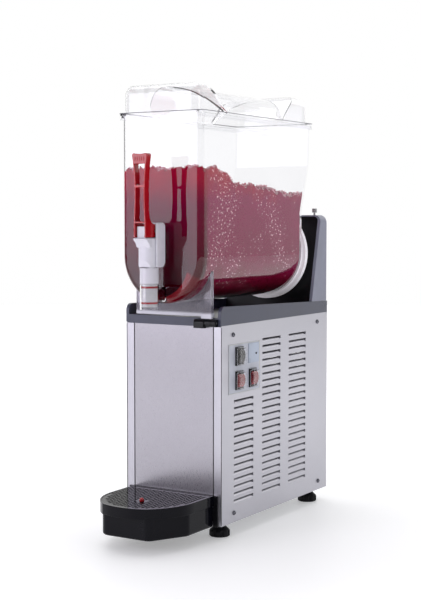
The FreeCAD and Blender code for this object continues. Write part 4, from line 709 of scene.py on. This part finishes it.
PLATE_LOW, PLATE_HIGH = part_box("control_plate")
PLATE_EDGE = 0.0007
plate_ring = upright_ring(PLATE_HIGH[0], PLATE_LOW, PLATE_HIGH, -PLATE_EDGE, -PLATE_EDGE)
bead("plate_seal", plate_ring, 0.0004, SEAL, "machine")

ROCKER_BASE = 0.1025
ROCKER_CROWN = 0.0062
ROCKER_SKIRT = 0.005
ROCKER_TILT = math.radians(3.5)


def bridge(form, one, two):
    """Faces between two rings with the same number of points."""
    count = len(one)
    for index in range(count):
        after = (index + 1) % count
        form.faces.new((one[index], one[after], two[after], two[index]))


def rocker_cap(node, material):
    """A rocker switch's cap: a crowned key, tilted to one side, over a short straight skirt."""
    low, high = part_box(node)
    centre_z = (low[2] + high[2]) / 2
    half_z = (high[2] - low[2]) / 2 - 0.0008
    front = low[1] + 0.001
    back = high[1] - 0.001
    outline = [(ROCKER_BASE - ROCKER_SKIRT, half_z), (ROCKER_BASE - ROCKER_SKIRT, -half_z)]
    for step in range(17):
        turn = math.pi * step / 16
        outline.append((ROCKER_BASE + ROCKER_CROWN * math.sin(turn) ** 0.9, -half_z * math.cos(turn)))
    cosine = math.cos(ROCKER_TILT)
    sine = math.sin(ROCKER_TILT)
    form = bmesh.new()
    rings = []
    for y, shrink in ((front, 0.9), (front + 0.0006, 1.0), (back - 0.0006, 1.0), (back, 0.9)):
        ring = []
        for x, z in outline:
            out = (x - ROCKER_BASE) * shrink
            up = z * (0.7 + 0.3 * shrink)
            place = (ROCKER_BASE + out * cosine + up * sine, y, centre_z + up * cosine - out * sine)
            ring.append(form.verts.new(place))
        rings.append(ring)
    for one, two in zip(rings, rings[1:]):
        bridge(form, one, two)
    form.faces.new(rings[0])
    form.faces.new(list(reversed(rings[-1])))
    bmesh.ops.recalc_face_normals(form, faces=form.faces)
    name = node + "_cap"
    adopt(bpy.data.objects.new(name, mesh_of(form, name, material, False)), node, (node,))


rocker_cap("rocker_black", BLACK)
rocker_cap("rocker_red_front", LAMP_RED)
rocker_cap("rocker_red_rear", LAMP_RED)

BEZEL_X = 0.1042
for node in ("rocker_black", "rocker_red_front", "rocker_red_rear"):
    low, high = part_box(node)
    ring = upright_ring(BEZEL_X, low, high, 0.0012, 0.0016)
    bead(node + "_bezel", ring, 0.0004, BEZEL, "machine")

SEAM_X = 0.0999
SEAM_Y = -0.1272
for name, side in (("seam_right", 1), ("seam_left", -1)):
    line = [(side * SEAM_X, SEAM_Y, z) for z in (0.027, 0.2, 0.374)]
    bead(name, line, 0.0006, BLACK_SATIN, "machine", False)

TAP_Y = -0.201
RING_HEIGHTS = (0.418, 0.445)
RING_RADIUS = 0.01325
RING_HALF_WIDTH = 0.00135
RING_HALF_HEIGHT = 0.0022


def seal_rings():
    """The piston's two red seals, flattened where they press on the tube."""
    form = bmesh.new()
    for height in RING_HEIGHTS:
        grid = []
        for step in range(48):
            turn = 2 * math.pi * step / 48
            ring = []
            for part in range(10):
                around = 2 * math.pi * part / 10
                radius = RING_RADIUS + RING_HALF_WIDTH * math.cos(around)
                up = height + RING_HALF_HEIGHT * math.sin(around)
                ring.append(form.verts.new((radius * math.cos(turn), TAP_Y + radius * math.sin(turn), up)))
            grid.append(ring)
        for one, two in zip(grid, grid[1:] + grid[:1]):
            bridge(form, one, two)
    bmesh.ops.recalc_face_normals(form, faces=form.faces)
    mesh = mesh_of(form, "seal_rings", RING_RED)
    adopt(bpy.data.objects.new("seal_rings", mesh), "piston", ("piston_rings",))


seal_rings()


def grip_ribs():
    """Plain raised ribs across the handle's head, where the thumb pulls."""
    low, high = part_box("tap_handle")
    half_width, half_depth, half_height = 0.0011, 0.0006, 0.0044
    middle = high[2] - 0.0095
    form = bmesh.new()
    for across in (-0.0088, -0.0044, 0.0, 0.0044, 0.0088):
        made = bmesh.ops.create_uvsphere(form, u_segments=12, v_segments=8, radius=1.0)
        for point in made["verts"]:
            x, y, z = point.co
            point.co = (across + x * half_width, low[1] + y * half_depth, middle + z * half_height)
    mesh = mesh_of(form, "grip_ribs", RED)
    adopt(bpy.data.objects.new("grip_ribs", mesh), "handle", ())


grip_ribs()

# ---------------------------------------------------------------- floor


def floor_material():
    """A white floor that glows a little more away from the object, so that it has no visible edge."""
    shader = Shader("floor_white", (0.86, 0.86, 0.87), 0.5)
    place = shader.add("ShaderNodeTexCoord")
    away = shader.add("ShaderNodeVectorMath", operation="LENGTH")
    shader.link(place.outputs["Object"], away.inputs[0])
    distance = shader.spread(away.outputs["Value"], 0.45, 1.6, 0.0, 1.0)
    glow = shader.ramp(distance, [(0.0, (0.3, 0.3, 0.3)), (1.0, (0.62, 0.62, 0.62))])
    shader.link(glow, shader.main.inputs["Emission Color"])
    shader.set("Emission Strength", 1.0)
    return shader.material


def floor():
    form = bmesh.new()
    bmesh.ops.create_circle(form, cap_ends=True, segments=96, radius=6.0)
    item = bpy.data.objects.new("floor", mesh_of(form, "floor", floor_material(), False))
    bpy.context.scene.collection.objects.link(item)


floor()
